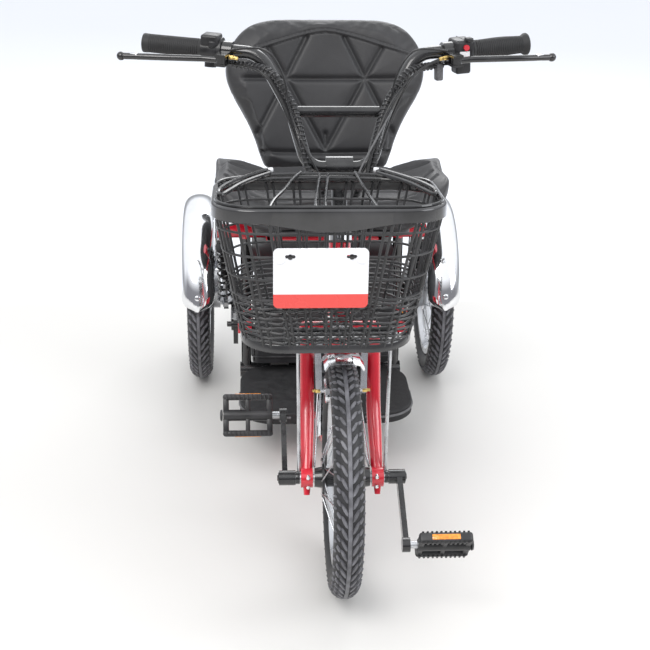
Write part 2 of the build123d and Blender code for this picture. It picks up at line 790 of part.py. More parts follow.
# --- footboard, box, seat ------------------------------------------------------------------
def footboard():
    depth = board_rear - board_front
    middle = front_axle_y + (board_rear + board_front) / 2
    outline = Pos(0, middle) * RectangleRounded(2 * board_half, depth, 70)
    notch = Pos(0, front_axle_y + board_front) * RectangleRounded(2 * notch_half, 2 * notch_depth, 26)
    board = extrude(Plane.XY.offset(board_top - board_thick) * (outline - notch), board_thick)
    return fillet(board.faces().sort_by(Axis.Z)[-1].edges(), 4)


def box_block(shrink):
    depth = box_rear - box_front - 2 * shrink
    height = box_top - box_base - 2 * shrink
    centre = behind(0, (box_front + box_rear) / 2, (box_base + box_top) / 2)
    return Pos(*centre) * Box(2 * (box_half - shrink), depth, height)


def battery_box():
    shell = fillet(box_block(0).edges().filter_by(Axis.Z), 14)
    return shell - box_block(box_wall)


def battery_pack():
    block = box_block(box_wall + battery_gap)
    low = block.bounding_box().min.Z
    lift = box_base + box_wall - low
    return Pos(0, 0, lift) * fillet(block.edges().filter_by(Axis.Z), 4)


def seat_pan():
    depth = cushion_rear - cushion_front - 50
    middle = front_axle_y + (cushion_rear + cushion_front) / 2
    pan = Plane.XY.offset(seat_rail_top) * Pos(seat_shift, middle) * RectangleRounded(320, depth, 40)
    return extrude(pan, seat_pan_thick)


cushion_base = seat_rail_top + seat_pan_thick + 1.0


def seat_cushion():
    """Plain dished block: flat in the middle, its sides rising as wings."""
    low = cushion_base
    top = low + cushion_thick
    outline = [(0, low), (150, low), (cushion_half, top - 8), (cushion_half, top + wing_rise - 6),
               (cushion_half - 14, top + wing_rise), (150, top + 4), (90, top), (0, top)]
    outline += [(-x, z) for x, z in reversed(outline[1:-1])]
    face = make_face(Polyline(*outline, close=True))
    depth = cushion_rear - cushion_front
    block = extrude(Plane(origin=behind(0, cushion_front, 0), x_dir=(1, 0, 0), z_dir=(0, -1, 0))
                    * face, -depth)
    plan = Pos(0, front_axle_y + (cushion_front + cushion_rear) / 2) * RectangleRounded(
        2 * cushion_half, depth, 80)
    return Pos(seat_shift, 0, 0) * (block & extrude(plan, 900))


def seat_back():
    """Winged shell: a front outline cut from a curved slab, leaning back."""
    foot = behind(0, back_foot, cushion_base + 16)
    lean = radians(back_rear_lean)
    up = Vector(0, sin(lean), cos(lean))
    face_plane = Plane(origin=foot, x_dir=(1, 0, 0), z_dir=Vector(1, 0, 0).cross(up) * 1)
    half = [(back_half_foot, 0), (back_half_waist, 60), (back_half_wide - 29, 140),
            (back_half_wide, 236), (back_half_wide - 28, back_height - 51),
            (back_half_wide - 92, back_height - 11)]
    edge = Spline(*half, (0, back_height), *[(-x, y) for x, y in reversed(half)])
    outline = make_face([edge, Line((-back_half_foot, 0), (back_half_foot, 0))])
    slab = extrude(face_plane * outline, 200, both=True)
    centre = foot + Vector(0, -cos(lean), sin(lean)) * (back_curve)
    column = Plane(origin=centre - up * 80, x_dir=(1, 0, 0), z_dir=up)
    tall = back_height + 200
    keep = (Align.CENTER, Align.CENTER, Align.MIN)
    shell = column * Cylinder(back_curve + back_thick, tall, align=keep)
    shell -= column * Cylinder(back_curve, tall, align=keep)
    return Pos(seat_shift, 0, 0) * (slab & shell)


def frame_bolts():
    """Bolts through the seat rails into the pan, heads below the rails."""
    bolts = []
    low = seat_rail_top - 2 * seat_rail_radius
    for back in (660.0, 800.0):
        head = Pos(*behind(seat_rail_half, back, low - 5)) * extrude(RegularPolygon(8, 6), 5)
        bolts += both_sides(head)
    return bolts


# --- rear axle -----------------------------------------------------------------------------
def swing_arm():
    """Two trailing arms on the frame's pivot pins, with the shock pins and a tie tube."""
    whole = None
    eye_width = 2 * arm_radius - 3
    for side in (-1, 1):
        pivot = swing_pivot + Vector(side * arm_half, 0, 0)
        end = rear_axle + Vector(side * arm_half, 0, 0)
        arm = rod(pivot, end, arm_radius) + across(pivot, 14, eye_width)
        arm += across(end, axle_tube_radius + 6, eye_width)
        plate_middle_point = pivot + Vector(0, 8, -14)
        arm += Pos(*plate_middle_point) * Box(10, 40, 56)
        pin = shock_foot(side)
        arm += rod(Vector(side * arm_half, pin.Y, pin.Z), Vector(side * (shock_half + 10), pin.Y, pin.Z),
                   pin_radius)
        arm -= across(pivot, pin_radius + 2 + running_gap, 60)
        whole = arm if whole is None else whole + arm
    return whole - across(rear_axle, axle_tube_radius, 2 * arm_half + 80)


def axle_housing():
    beam = across(rear_axle, axle_tube_radius, 2 * axle_tube_half)
    case = fillet(across(rear_axle, drive_case_radius, drive_case_width).edges(), 14)
    whole = beam + case
    for side in (-1, 1):
        whole += across(rear_axle + Vector(side * (axle_tube_half + 5), 0, 0), brake_plate_radius, 10)
        start = rear_axle + Vector(side * axle_tube_half, 0, 0)
        whole += rod(start, rear_axle + Vector(side * 310, 0, 0), axle_pin_radius)
    return whole


def rear_mudguard():
    guard = Pos(rear_track / 2, rear_axle_y, wheel_radius) * guard_sheet_arc(
        rear_guard_radius, guard_width, 82, -100)
    inner = rear_track / 2 - guard_width / 2 + 1
    foot = rear_axle + Vector(axle_tube_half + 5, 0, 0)
    for turn in (22, -32, -86):
        place = radians(turn)
        reach = rear_guard_radius - guard_lip
        hold = Vector(inner, rear_axle_y - reach * sin(place), wheel_radius + reach * cos(place))
        near = foot + Vector(0, -sin(place), cos(place)) * (brake_plate_radius - 4)
        guard += rod(near + Vector(8, 0, 0), hold, 3)
    return guard


# --- shock absorbers -------------------------------------------------------------------------
def shock_line(side):
    top = shock_top(side)
    line = shock_foot(side) - top
    return top, line.normalized(), line.length


def shock_cylinder(side):
    top, way, length = shock_line(side)
    body = across(top, shock_eye_radius, shock_eye_width)
    body += rod(top + way * 6, top + way * (length * 0.56), shock_tube_radius)
    body += rod(top + way * 14, top + way * 20, spring_radius + 3)
    body -= rod(top + way * 30, top + way * (length * 0.56 + 1), shock_rod_radius + running_gap)
    return body - across(top, pin_radius + running_gap, 40)


def shock_rod(side):
    top, way, length = shock_line(side)
    foot = top + way * length
    body = across(foot, shock_eye_radius, shock_eye_width)
    body += rod(foot - way * 6, top + way * 48, shock_rod_radius)
    body += rod(foot - way * 14, foot - way * 20, spring_radius + 3)
    return body - across(foot, pin_radius + shock_open_gap, 40)


def shock_spring(side):
    top, way, length = shock_line(side)
    start = top + way * (20 + spring_wire + 0.6)
    tall = length - 40 - 2 * spring_wire - 1.2
    place = Plane(origin=start, x_dir=(1, 0, 0), z_dir=way)
    coil_radius = spring_radius - 0.4
    path = Helix(pitch=tall / spring_turns, height=tall, radius=coil_radius)
    section = Plane(origin=path @ 0, z_dir=path % 0)
    coil = sweep(section * Circle(spring_wire), path=path, is_frenet=True)
    return place * coil


# --- cables -----------------------------------------------------------------------------------
cable_radius = 2.5
loom_radius = 4.5
brake_cable_route = [on_bar(bracket_from + bracket_width + 1, 24, -6),
                     on_bar(bracket_from + bracket_width + 34, 27, -8),
                     bar_middle + Vector(98, 18, 128), bar_middle + Vector(72, -2, 84),
                     bar_middle + Vector(52, -25, 34), bar_middle + Vector(40, -42, -22),
                     bar_middle + Vector(34, -58, -80), bar_middle + Vector(31, -79, -136),
                     at_steer(28, -27, caliper_up + 64), at_steer(21, -32, caliper_up + 18)]
loom_beside = Vector(-6, -23, 8)
bar_base = bar_middle + Vector(bar_base_half, 0, 0)
bar_knee = bar_middle + Vector(crossbar_half, crossbar_back, crossbar_rise)
loom_route = [on_bar(bracket_from + bracket_width + 2, 4, -21),
              on_bar(bracket_from + bracket_width + 20, 7, -21),
              bar_bend * 0.72 + bar_knee * 0.28 + loom_beside + Vector(3, 0, -2),
              bar_bend * 0.36 + bar_knee * 0.64 + loom_beside,
              bar_knee + loom_beside + Vector(0, -1, 0),
              bar_knee * 0.5 + bar_base * 0.5 + loom_beside + Vector(3, -2, 4),
              bar_base + Vector(2, -23, 0), bar_base + Vector(-16, -26, -20),
              bar_base + Vector(-28, -28, -46)]


def corner_radii(points):
    """At each corner 0.45 of the shorter run over the tangent of half the turn."""
    radii = []
    for before, corner, after in zip(points, points[1:], points[2:]):
        arriving = corner - before
        leaving = after - corner
        half_turn = radians(arriving.get_angle(leaving)) / 2
        radii.append(0.45 * min(arriving.length, leaving.length) / tan(half_turn))
    return radii


def cable(name, points, radius):
    radii = corner_radii(points)
    path = FilletPolyline(*points, radius=radii)
    tube = bent_rod(points, radii, radius)
    print(name, "radii", [round(r) for r in radii], "length", round(path.length),
          "volume ratio", round(tube.volume / (pi * radius ** 2 * path.length), 4))
    return tube


# --- everything ---------------------------------------------------------------------------------
def build_wheel(prefix, suffix, place, hub_shape, flange_half, flange_radius):
    save(f"{prefix}_tyre{suffix}", place * tyre())
    save(f"{prefix}_rim{suffix}", place * rim())
    save(f"{prefix}_spokes{suffix}", 
         *[place * one for one in spokes(flange_half, flange_radius)])
    save(f"{prefix}_hub{suffix}", hub_shape)


def build_front():
    front_place = Pos(*front_axle)
    front_hub = hub(spindle_bore, front_hub_half, hub_flange_half, hub_flange_radius)
    build_wheel("front", "", front_place, front_place * front_hub, hub_flange_half,
                hub_flange_radius)
    save("fork", fork())
    save("fork_bearings", *fork_bearings())
    save("stem", stem())
    save("handlebar", handlebar())
    save("left_grip", left_grip())
    save("throttle_grip", throttle_grip())
    save("throttle_housing", mirror(grip_housing(False), about=Plane.YZ))
    save("switch_housing", switch_housing())
    save("horn_button", horn_button())
    save("lever_brackets", *both_sides(lever_bracket()))
    lever = brake_lever()
    save("brake_lever_left", lever)
    save("brake_lever_right", mirror(lever, about=Plane.YZ))
    save("front_mudguard", front_mudguard())
    save("caliper_bolt", caliper_bolt())
    save("caliper_arm_left", caliper_arm(1, 0))
    save("caliper_arm_right", caliper_arm(-1, 1))
    save("basket", basket())
    save("basket_lid", basket_lid())
    save("basket_strut", *basket_strut())
    save("plate", plate())
    save("brake_cable", cable("brake_cable", brake_cable_route, cable_radius))
    loom = cable("wiring_loom", loom_route, loom_radius)
    save("wiring_loom", *both_sides(loom))


def build_pedals():
    save("crank_spindle", crank_spindle())
    save("crank_arm_left", crank_arm(1))
    save("crank_arm_right", crank_arm(-1))
    save("pedal_spindles", pedal_spindle(-1), pedal_spindle(1))
    save("pedal_left", pedal(1, pedal_tilt_left))
    save("pedal_right", pedal(-1, pedal_tilt_right))


def build_frame():
    save("main_frame", main_frame())
    save("headset_cups", *headset_cups())
    save("frame_bolts", *frame_bolts())
    save("footboard", footboard())
    save("battery_box", battery_box())
    save("battery_pack", battery_pack())
    save("seat_pan", seat_pan())
    save("seat_cushion", seat_cushion())
    save("seat_back", seat_back())


def build_rear():
    save("swing_arm", swing_arm())
    save("axle_housing", axle_housing())
    left = Pos(rear_track / 2, rear_axle_y, wheel_radius)
    right = Pos(-rear_track / 2, rear_axle_y, wheel_radius)
    drum = rear_drum()
    for suffix, place, shape in (("_left", left, drum),
                                 ("_right", right, mirror(drum, about=Plane.YZ))):
        build_wheel("rear", suffix, place, place * shape, rear_flange_half, rear_flange_radius)
    guard = rear_mudguard()
    save("rear_mudguard_left", guard)
    save("rear_mudguard_right", mirror(guard, about=Plane.YZ))
    for name, side in (("left", 1), ("right", -1)):
        save(f"shock_cylinder_{name}", shock_cylinder(side))
        save(f"shock_rod_{name}", shock_rod(side))
        save(f"shock_spring_{name}", shock_spring(side))


os.makedirs("parts", exist_ok=True)
build_front()
build_pedals()
build_frame()
build_rear()
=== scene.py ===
"""Detailed looks for an adult tricycle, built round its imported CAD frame.

Metres.  +Z is up, the front faces -Y and the rider's left is +X.
"""
from math import atan2, cos, exp, pi, radians, sin, sqrt

import bpy
from mathutils import Matrix, Vector


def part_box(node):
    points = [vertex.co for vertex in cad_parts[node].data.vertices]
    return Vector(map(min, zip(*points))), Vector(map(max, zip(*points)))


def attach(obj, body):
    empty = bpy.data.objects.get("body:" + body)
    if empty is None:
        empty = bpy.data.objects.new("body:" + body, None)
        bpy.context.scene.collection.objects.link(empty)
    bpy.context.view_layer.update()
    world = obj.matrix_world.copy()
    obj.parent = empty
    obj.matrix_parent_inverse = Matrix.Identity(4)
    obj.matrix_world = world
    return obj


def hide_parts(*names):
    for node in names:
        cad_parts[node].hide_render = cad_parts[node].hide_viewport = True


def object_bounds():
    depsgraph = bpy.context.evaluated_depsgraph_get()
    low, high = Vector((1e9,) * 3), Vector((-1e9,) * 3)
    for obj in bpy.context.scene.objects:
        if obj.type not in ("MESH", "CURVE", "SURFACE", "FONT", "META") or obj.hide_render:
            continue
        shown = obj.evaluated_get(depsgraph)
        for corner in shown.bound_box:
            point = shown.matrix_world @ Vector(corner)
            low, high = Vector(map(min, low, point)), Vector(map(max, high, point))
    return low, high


bl_info = {
    "name": "Adult Tricycle Finish",
    "version": (1, 0, 0),
    "blender": (4, 5, 0),
    "location": "View3D > Sidebar > Tricycle",
    "description": "Builds the visible pieces of an adult tricycle round its frame",
    "category": "Object",
}

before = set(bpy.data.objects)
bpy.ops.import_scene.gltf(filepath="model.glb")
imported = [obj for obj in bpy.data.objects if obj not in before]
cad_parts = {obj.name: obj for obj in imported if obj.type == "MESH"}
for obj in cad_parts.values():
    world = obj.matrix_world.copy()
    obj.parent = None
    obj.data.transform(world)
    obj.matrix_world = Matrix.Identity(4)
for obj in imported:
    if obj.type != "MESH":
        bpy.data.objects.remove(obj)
cad_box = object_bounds()
MM = 0.001

front_low, front_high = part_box("front_tyre")
rear_low, rear_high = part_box("rear_tyre_left")
front_axle = (front_low + front_high) / 2
rear_axle = (rear_low + rear_high) / 2
wheel_radius = (front_high.z - front_low.z) / 2
tyre_half = (front_high.x - front_low.x) / 2


# --- sizes and colours ---------------------------------------------------------
class TricycleTyreSettings(bpy.types.PropertyGroup):
    lug_pitches: bpy.props.IntProperty(
        name="Lug pitches", description="Repeats of the tread round one tyre",
        default=62, min=20, max=160)
    lug_height: bpy.props.FloatProperty(
        name="Lug height", description="Height of a lug above the carcass",
        default=2.8 * MM, subtype="DISTANCE", unit="LENGTH")
    lug_slant: bpy.props.FloatProperty(
        name="Lug slant", description="Turn of a lug from straight across",
        default=radians(61), subtype="ANGLE", unit="ROTATION")


class TricycleBasketSettings(bpy.types.PropertyGroup):
    wire_radius: bpy.props.FloatProperty(
        name="Wire radius", description="Radius of the basket's upright wires",
        default=2.3 * MM, subtype="DISTANCE", unit="LENGTH")
    woven_rows: bpy.props.IntProperty(
        name="Woven rows", description="Close rows round the foot of the basket",
        default=9, min=1, max=30)
    band_drop: bpy.props.FloatProperty(
        name="Band drop", description="Depth of the rim band at its sides",
        default=18 * MM, subtype="DISTANCE", unit="LENGTH")


class TricycleSeatSettings(bpy.types.PropertyGroup):
    voxel: bpy.props.FloatProperty(
        name="Cell size", description="Cell size of the cover before it is puffed",
        default=5 * MM, subtype="DISTANCE", unit="LENGTH")
    pressure: bpy.props.FloatProperty(
        name="Pressure", description="Push of the filling against the cover", default=4.0)
    groove_depth: bpy.props.FloatProperty(
        name="Groove depth", description="Depth of the sewn grooves",
        default=7 * MM, subtype="DISTANCE", unit="LENGTH")
    groove_half: bpy.props.FloatProperty(
        name="Groove half width", description="Half width of a sewn groove",
        default=7 * MM, subtype="DISTANCE", unit="LENGTH")


def colour(name, description, value):
    return bpy.props.FloatVectorProperty(name=name, description=description, default=value,
                                         subtype="COLOR", min=0.0, max=1.0)


class TricycleColours(bpy.types.PropertyGroup):
    paint: colour("Frame paint", "Gloss paint of the frame and fork", (0.62, 0.012, 0.03))
    black_paint: colour("Black paint", "Gloss black of the bar and cranks", (0.012, 0.012, 0.013))
    rubber: colour("Tyre rubber", "Carcass and lugs", (0.02, 0.02, 0.022))
    leather: colour("Seat cover", "Soft cover of the seat", (0.026, 0.026, 0.028))
    basket: colour("Basket", "Moulded wires and bands", (0.032, 0.032, 0.034))
    plate_face: colour("Plate face", "Upper part of the plate", (0.86, 0.87, 0.9))
    plate_band: colour("Plate band", "Band along the foot of the plate", (0.78, 0.07, 0.06))
    amber: colour("Amber", "Reflectors of the pedals and sides", (0.85, 0.27, 0.02))


# --- finishes ------------------------------------------------------------------
finishes = {}


def shade(name, base, rough, metal=0.0, spread=0.25, patch=40.0, grain=400.0, bump=0.15,
          depth=0.0003, coat=0.0, rough_spread=0.1, sheen=0.0, kind="NOISE", second=None,
          painted_glow=0.0, clear=0.0):
    """Finish whose colour and gloss drift in patches, with a fine grain standing off it, and where
    asked a painted glow in its own colour.
    """
    material = bpy.data.materials.new(name)
    material.use_nodes = True
    nodes = material.node_tree.nodes
    links = material.node_tree.links
    shader = nodes["Principled BSDF"]
    shader.inputs["Metallic"].default_value = metal
    shader.inputs["Coat Weight"].default_value = coat
    shader.inputs["Coat Roughness"].default_value = 0.06
    shader.inputs["Sheen Weight"].default_value = sheen
    shader.inputs["Transmission Weight"].default_value = clear
    place = nodes.new("ShaderNodeTexCoord")
    drift = nodes.new("ShaderNodeTexNoise")
    drift.inputs["Scale"].default_value = patch
    drift.inputs["Detail"].default_value = 5.0
    links.new(place.outputs["Object"], drift.inputs["Vector"])
    ramp = nodes.new("ShaderNodeValToRGB")
    low = second or tuple(c * (1 - spread) for c in base)
    high = tuple(min(1.0, c * (1 + spread)) for c in base) if second is None else base
    ramp.color_ramp.elements[0].position = 0.35
    ramp.color_ramp.elements[0].color = (*low, 1)
    ramp.color_ramp.elements[1].position = 0.65
    ramp.color_ramp.elements[1].color = (*high, 1)
    links.new(drift.outputs["Fac"], ramp.inputs["Fac"])
    links.new(ramp.outputs["Color"], shader.inputs["Base Color"])
    gloss = nodes.new("ShaderNodeMapRange")
    gloss.inputs["From Min"].default_value = 0.3
    gloss.inputs["From Max"].default_value = 0.7
    gloss.inputs["To Min"].default_value = max(0.02, rough - rough_spread)
    gloss.inputs["To Max"].default_value = min(1.0, rough + rough_spread)
    links.new(drift.outputs["Fac"], gloss.inputs["Value"])
    links.new(gloss.outputs["Result"], shader.inputs["Roughness"])
    if kind == "VORONOI":
        grains = nodes.new("ShaderNodeTexVoronoi")
        height = grains.outputs["Distance"]
    else:
        grains = nodes.new("ShaderNodeTexNoise")
        grains.inputs["Detail"].default_value = 4.0
        height = grains.outputs["Fac"]
    grains.inputs["Scale"].default_value = grain
    links.new(place.outputs["Object"], grains.inputs["Vector"])
    raised = nodes.new("ShaderNodeBump")
    raised.inputs["Strength"].default_value = bump
    raised.inputs["Distance"].default_value = depth
    links.new(height, raised.inputs["Height"])
    links.new(raised.outputs["Normal"], shader.inputs["Normal"])
    # Painted glow: the finish gives out its own colour as light, though the part is no lamp.
    if painted_glow:
        links.new(ramp.outputs["Color"], shader.inputs["Emission Color"])
        shader.inputs["Emission Strength"].default_value = painted_glow
    finishes[name] = material
    return material


def ramped(tree, socket, start, end):
    """0 to 1 as the socket's value goes from the start to the end."""
    step = tree.nodes.new("ShaderNodeMapRange")
    step.inputs["From Min"].default_value = start
    step.inputs["From Max"].default_value = end
    tree.links.new(socket, step.inputs["Value"])
    return step.outputs["Result"]


def axes(tree, socket):
    split = tree.nodes.new("ShaderNodeSeparateXYZ")
    tree.links.new(socket, split.inputs["Vector"])
    return split.outputs


def compare(tree, operation, socket, value):
    test = tree.nodes.new("ShaderNodeMath")
    test.operation = operation
    test.inputs[1].default_value = value
    tree.links.new(socket, test.inputs[0])
    return test.outputs["Value"]


def product(tree, first, second):
    both = tree.nodes.new("ShaderNodeMath")
    both.operation = "MULTIPLY"
    tree.links.new(first, both.inputs[0])
    tree.links.new(second, both.inputs[1])
    return both.outputs["Value"]


def mixed(tree, factor, socket, other):
    """The socket's colour, or the other colour where the factor is 1."""
    mix = tree.nodes.new("ShaderNodeMix")
    mix.data_type = "RGBA"
    mix.inputs["B"].default_value = (*other, 1)
    tree.links.new(factor, mix.inputs["Factor"])
    tree.links.new(socket, mix.inputs["A"])
    return mix.outputs["Result"]


def two_colours(tree, factor, low, high):
    ramp = tree.nodes.new("ShaderNodeValToRGB")
    ramp.color_ramp.elements[0].color = (*low, 1)
    ramp.color_ramp.elements[1].color = (*high, 1)
    tree.links.new(factor, ramp.inputs["Fac"])
    return ramp.outputs["Color"]


def band_across(material, below, above, height, soft):
    """Gives the finish one colour under a height and another above it."""
    tree = material.node_tree
    place = axes(tree, tree.nodes["Texture Coordinate"].outputs["Object"])
    step = ramped(tree, place["Z"], height - soft, height + soft)
    colour_out = two_colours(tree, step, below, above)
    tree.links.new(colour_out, tree.nodes["Principled BSDF"].inputs["Base Color"])


def band_along(material, front, rear, start, end):
    """Gives the finish one colour in front of a station and another past it."""
    tree = material.node_tree
    place = axes(tree, tree.nodes["Texture Coordinate"].outputs["Object"])
    colour_out = two_colours(tree, ramped(tree, place["Y"], start, end), front, rear)
    tree.links.new(colour_out, tree.nodes["Principled BSDF"].inputs["Base Color"])


def rear_paint(material, colour_behind, behind, below):
    """Gives the finish another colour behind one station and below one height."""
    tree = material.node_tree
    place = axes(tree, tree.nodes["Texture Coordinate"].outputs["Object"])
    there = product(tree, compare(tree, "GREATER_THAN", place["Y"], behind),
                    compare(tree, "LESS_THAN", place["Z"], below))
    base = tree.nodes["Principled BSDF"].inputs["Base Color"]
    tree.links.new(mixed(tree, there, base.links[0].from_socket, colour_behind), base)


def make_finishes(colours):
    shade("red_paint", tuple(colours.paint), 0.2, spread=0.1, patch=14, grain=220, bump=0.04,
          coat=0.9, rough_spread=0.06)
    frame_paint = shade("frame_paint", tuple(colours.paint), 0.2, spread=0.1, patch=14,
                        grain=220, bump=0.04, coat=0.9, rough_spread=0.06)
    rear_paint(frame_paint, tuple(colours.black_paint), 50 * MM, 385 * MM)
    shade("black_gloss", tuple(colours.black_paint), 0.24, spread=0.4, patch=30, grain=260,
          bump=0.05, coat=0.6)
    shade("black_moulded", tuple(colours.basket), 0.42, spread=0.35, patch=36, grain=900,
          bump=0.18, depth=0.0002)
    shade("black_shiny", tuple(colours.basket), 0.2, spread=0.3, patch=16, grain=300,
          bump=0.04, coat=0.5, rough_spread=0.07)
    shade("housing_plastic", (0.02, 0.02, 0.022), 0.4, spread=0.35, patch=60, grain=1400,
          bump=0.25, depth=0.00025)
    shade("chrome", (0.86, 0.87, 0.89), 0.09, metal=1.0, spread=0.08, patch=9, grain=60,
          bump=0.03, depth=0.0006, rough_spread=0.05)
    shade("alloy", (0.62, 0.63, 0.65), 0.3, metal=1.0, spread=0.15, patch=24, grain=700,
          bump=0.08)
    shade("bright_alloy", (0.82, 0.83, 0.85), 0.25, metal=1.0, spread=0.08, patch=30,
          grain=600, bump=0.06)
    shade("steel", (0.55, 0.56, 0.58), 0.27, metal=1.0, spread=0.2, patch=50, grain=500,
          bump=0.08)
    shade("zinc", (0.42, 0.43, 0.46), 0.38, metal=1.0, spread=0.25, patch=80, grain=600)
    shade("brass", (0.78, 0.56, 0.2), 0.3, metal=1.0, spread=0.2, patch=90, grain=500)
    shade("tyre_rubber", tuple(colours.rubber), 0.55, spread=0.45, patch=26, grain=700,
          bump=0.3, rough_spread=0.12)
    # Lugs and centre rib: the tyre rubber painted 6.5 times lighter, a painted highlight on their
    # faces.
    shade("lug_rubber_painted_highlight", tuple(6.5 * c for c in colours.rubber), 0.4, spread=0.35, patch=60,
          grain=900, bump=0.3, rough_spread=0.12)
    shade("grip_rubber", (0.02, 0.02, 0.021), 0.6, spread=0.3, patch=60, grain=1600, bump=0.4,
          kind="VORONOI", depth=0.0003)
    shade("leather", tuple(colours.leather), 0.46, spread=0.16, patch=12, grain=620, bump=0.42,
          depth=0.0004, kind="VORONOI", sheen=0.1, rough_spread=0.05)
    shade("piping", tuple(1.25 * c for c in colours.leather), 0.4, spread=0.2, patch=40,
          grain=700, bump=0.3, kind="VORONOI")
    shade("mat_rubber", (0.02, 0.02, 0.021), 0.7, spread=0.4, patch=60, grain=1500, bump=0.6,
          depth=0.0005, kind="VORONOI", second=(0.011, 0.011, 0.012))
    shade("grey_trim", (0.12, 0.12, 0.125), 0.55, spread=0.3, patch=300, grain=1500, bump=0.4)
    shade("sheath", (0.014, 0.014, 0.015), 0.38, spread=0.3, patch=90, grain=900, bump=0.1)
    shade("wrap", (0.04, 0.04, 0.043), 0.4, spread=0.3, patch=90, grain=900, bump=0.15)
    shade("case_plastic", (0.016, 0.016, 0.018), 0.45, spread=0.3, patch=18, grain=1200,
          bump=0.3, depth=0.0003)
    shade("label", (0.75, 0.76, 0.78), 0.4, spread=0.05, patch=70, grain=500, bump=0.05)
    # Amber reflectors carry a painted glow of strength 0.12, though they are no lamps.
    shade("amber", tuple(colours.amber), 0.14, spread=0.25, patch=200, grain=260, bump=0.5,
          depth=0.0008, kind="VORONOI", coat=0.8, painted_glow=0.12)
    # Red rear reflector lenses carry a painted glow of strength 0.05, though they are no lamps.
    shade("red_lens", (0.6, 0.01, 0.01), 0.15, spread=0.25, patch=200, grain=260, bump=0.5,
          depth=0.0008, kind="VORONOI", coat=0.8, painted_glow=0.05)
    low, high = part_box("plate")
    face = shade("plate_face", tuple(colours.plate_face), 0.26, spread=0.03, patch=22,
                 grain=300, bump=0.05, coat=0.4)
    band_across(face, tuple(colours.plate_band), tuple(colours.plate_face),
                low.z + 0.235 * (high.z - low.z), 0.0003)


node_finishes = {
    "red_paint": ("fork", "horn_button"),
    "frame_paint": ("main_frame",),
    "black_gloss": ("handlebar", "crank_arm_left", "crank_arm_right", "brake_lever_left",
                    "brake_lever_right", "stem", "lever_brackets", "front_hub", "swing_arm",
                    "shock_spring_left", "shock_spring_right"),
    "housing_plastic": ("switch_housing", "throttle_housing"),
    "black_moulded": ("seat_pan",),
    "mat_rubber": ("footboard",),
    "chrome": ("front_mudguard", "rear_mudguard_left", "rear_mudguard_right",
               "headset_cups"),
    "alloy": ("front_rim", "rear_rim_left", "rear_rim_right", "rear_hub_left",
              "rear_hub_right"),
    "bright_alloy": ("caliper_arm_left", "caliper_arm_right"),
    "steel": ("front_spokes", "rear_spokes_left", "rear_spokes_right", "basket_strut",
              "crank_spindle", "pedal_spindles", "caliper_bolt", "shock_rod_left",
              "shock_rod_right"),
    "zinc": ("fork_bearings", "frame_bolts"),
    "case_plastic": ("battery_box", "battery_pack", "axle_housing", "shock_cylinder_left",
                     "shock_cylinder_right"),
    "grip_rubber": ("left_grip", "throttle_grip"),
    "sheath": ("brake_cable", "wiring_loom"),
    "plate_face": ("plate",),
    "tyre_rubber": ("front_tyre", "rear_tyre_left", "rear_tyre_right"),
    "leather": ("seat_cushion", "seat_back"),
    "black_shiny": ("basket", "basket_lid", "pedal_left", "pedal_right"),
}


# --- making and finishing pieces --------------------------------------------------
def deselect():
    if bpy.context.mode != "OBJECT":
        bpy.ops.object.mode_set(mode="OBJECT")
    bpy.ops.object.select_all(action="DESELECT")


def take(*pieces):
    """Selects these pieces only, the first one active."""
    deselect()
    for piece in pieces:
        piece.select_set(True)
    bpy.context.view_layer.objects.active = pieces[0]
    return pieces[0]


def settle(piece):
    """Puts the piece's place, turn and size into its mesh."""
    take(piece)
    bpy.ops.object.transform_apply(location=True, rotation=True, scale=True)
    return piece


def join(pieces):
    for piece in pieces:
        settle(piece)
    take(*pieces)
    if len(pieces) > 1:
        bpy.ops.object.join()
    return pieces[0]


def apply_modifier(piece, kind, **settings):
    take(piece)
    modifier = piece.modifiers.new(kind.title(), kind)
    for key, value in settings.items():
        setattr(modifier, key, value)
    bpy.ops.object.modifier_apply(modifier=modifier.name)
    return piece


def hand_over(piece, name, body, finish, replaced=(), angle=38):
    """Names the piece, gives it its finish and lets it ride on its body."""
    settle(piece)
    piece.name = name
    piece.data.name = name
    if angle:
        bpy.ops.object.shade_smooth_by_angle(angle=radians(angle))
    piece.data.materials.clear()
    piece.data.materials.append(finishes[finish])
    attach(piece, body)
    if replaced:
        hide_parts(*replaced)
    return piece


def edit(piece):
    take(piece)
    bpy.ops.object.mode_set(mode="EDIT")
    bpy.ops.mesh.select_all(action="SELECT")


def leave_edit():
    bpy.ops.object.mode_set(mode="OBJECT")


def block(centre, size, turn=None, bevel=0.8 * MM, segments=2):
    """Box with rounded edges."""
    deselect()
    bpy.ops.mesh.primitive_cube_add(size=1)
    piece = bpy.context.object
    spin = turn or Matrix.Identity(4)
    piece.matrix_world = Matrix.Translation(Vector(centre)) @ spin @ Matrix.Diagonal((*size, 1))
    settle(piece)
    edit(piece)
    bpy.ops.mesh.bevel(offset=bevel, segments=segments, affect="EDGES")
    leave_edit()
    return piece


def rod(start, end, radius, radius_end=None, sides=20, bevel=0.4 * MM):
    """Round bar between two points, with eased ends."""
    start = Vector(start)
    line = Vector(end) - start
    deselect()
    bpy.ops.mesh.primitive_cone_add(vertices=sides, radius1=radius,
                                    radius2=radius if radius_end is None else radius_end,
                                    depth=line.length)
    piece = bpy.context.object
    turn = line.to_track_quat("Z", "Y").to_matrix().to_4x4()
    piece.matrix_world = Matrix.Translation(start + line / 2) @ turn
    settle(piece)
    if bevel:
        edit(piece)
        bpy.ops.mesh.select_all(action="DESELECT")
        leave_edit()
        for edge in piece.data.edges:
            ends = [piece.data.vertices[i].co for i in edge.vertices]
            edge.select = abs((ends[1] - ends[0]).normalized().dot(line.normalized())) < 0.5
        bpy.ops.object.mode_set(mode="EDIT")
        bpy.ops.mesh.select_mode(type="EDGE")
        bpy.ops.mesh.bevel(offset=bevel, segments=2, affect="EDGES")
        bpy.ops.mesh.select_mode(type="VERT")
        leave_edit()
    return piece


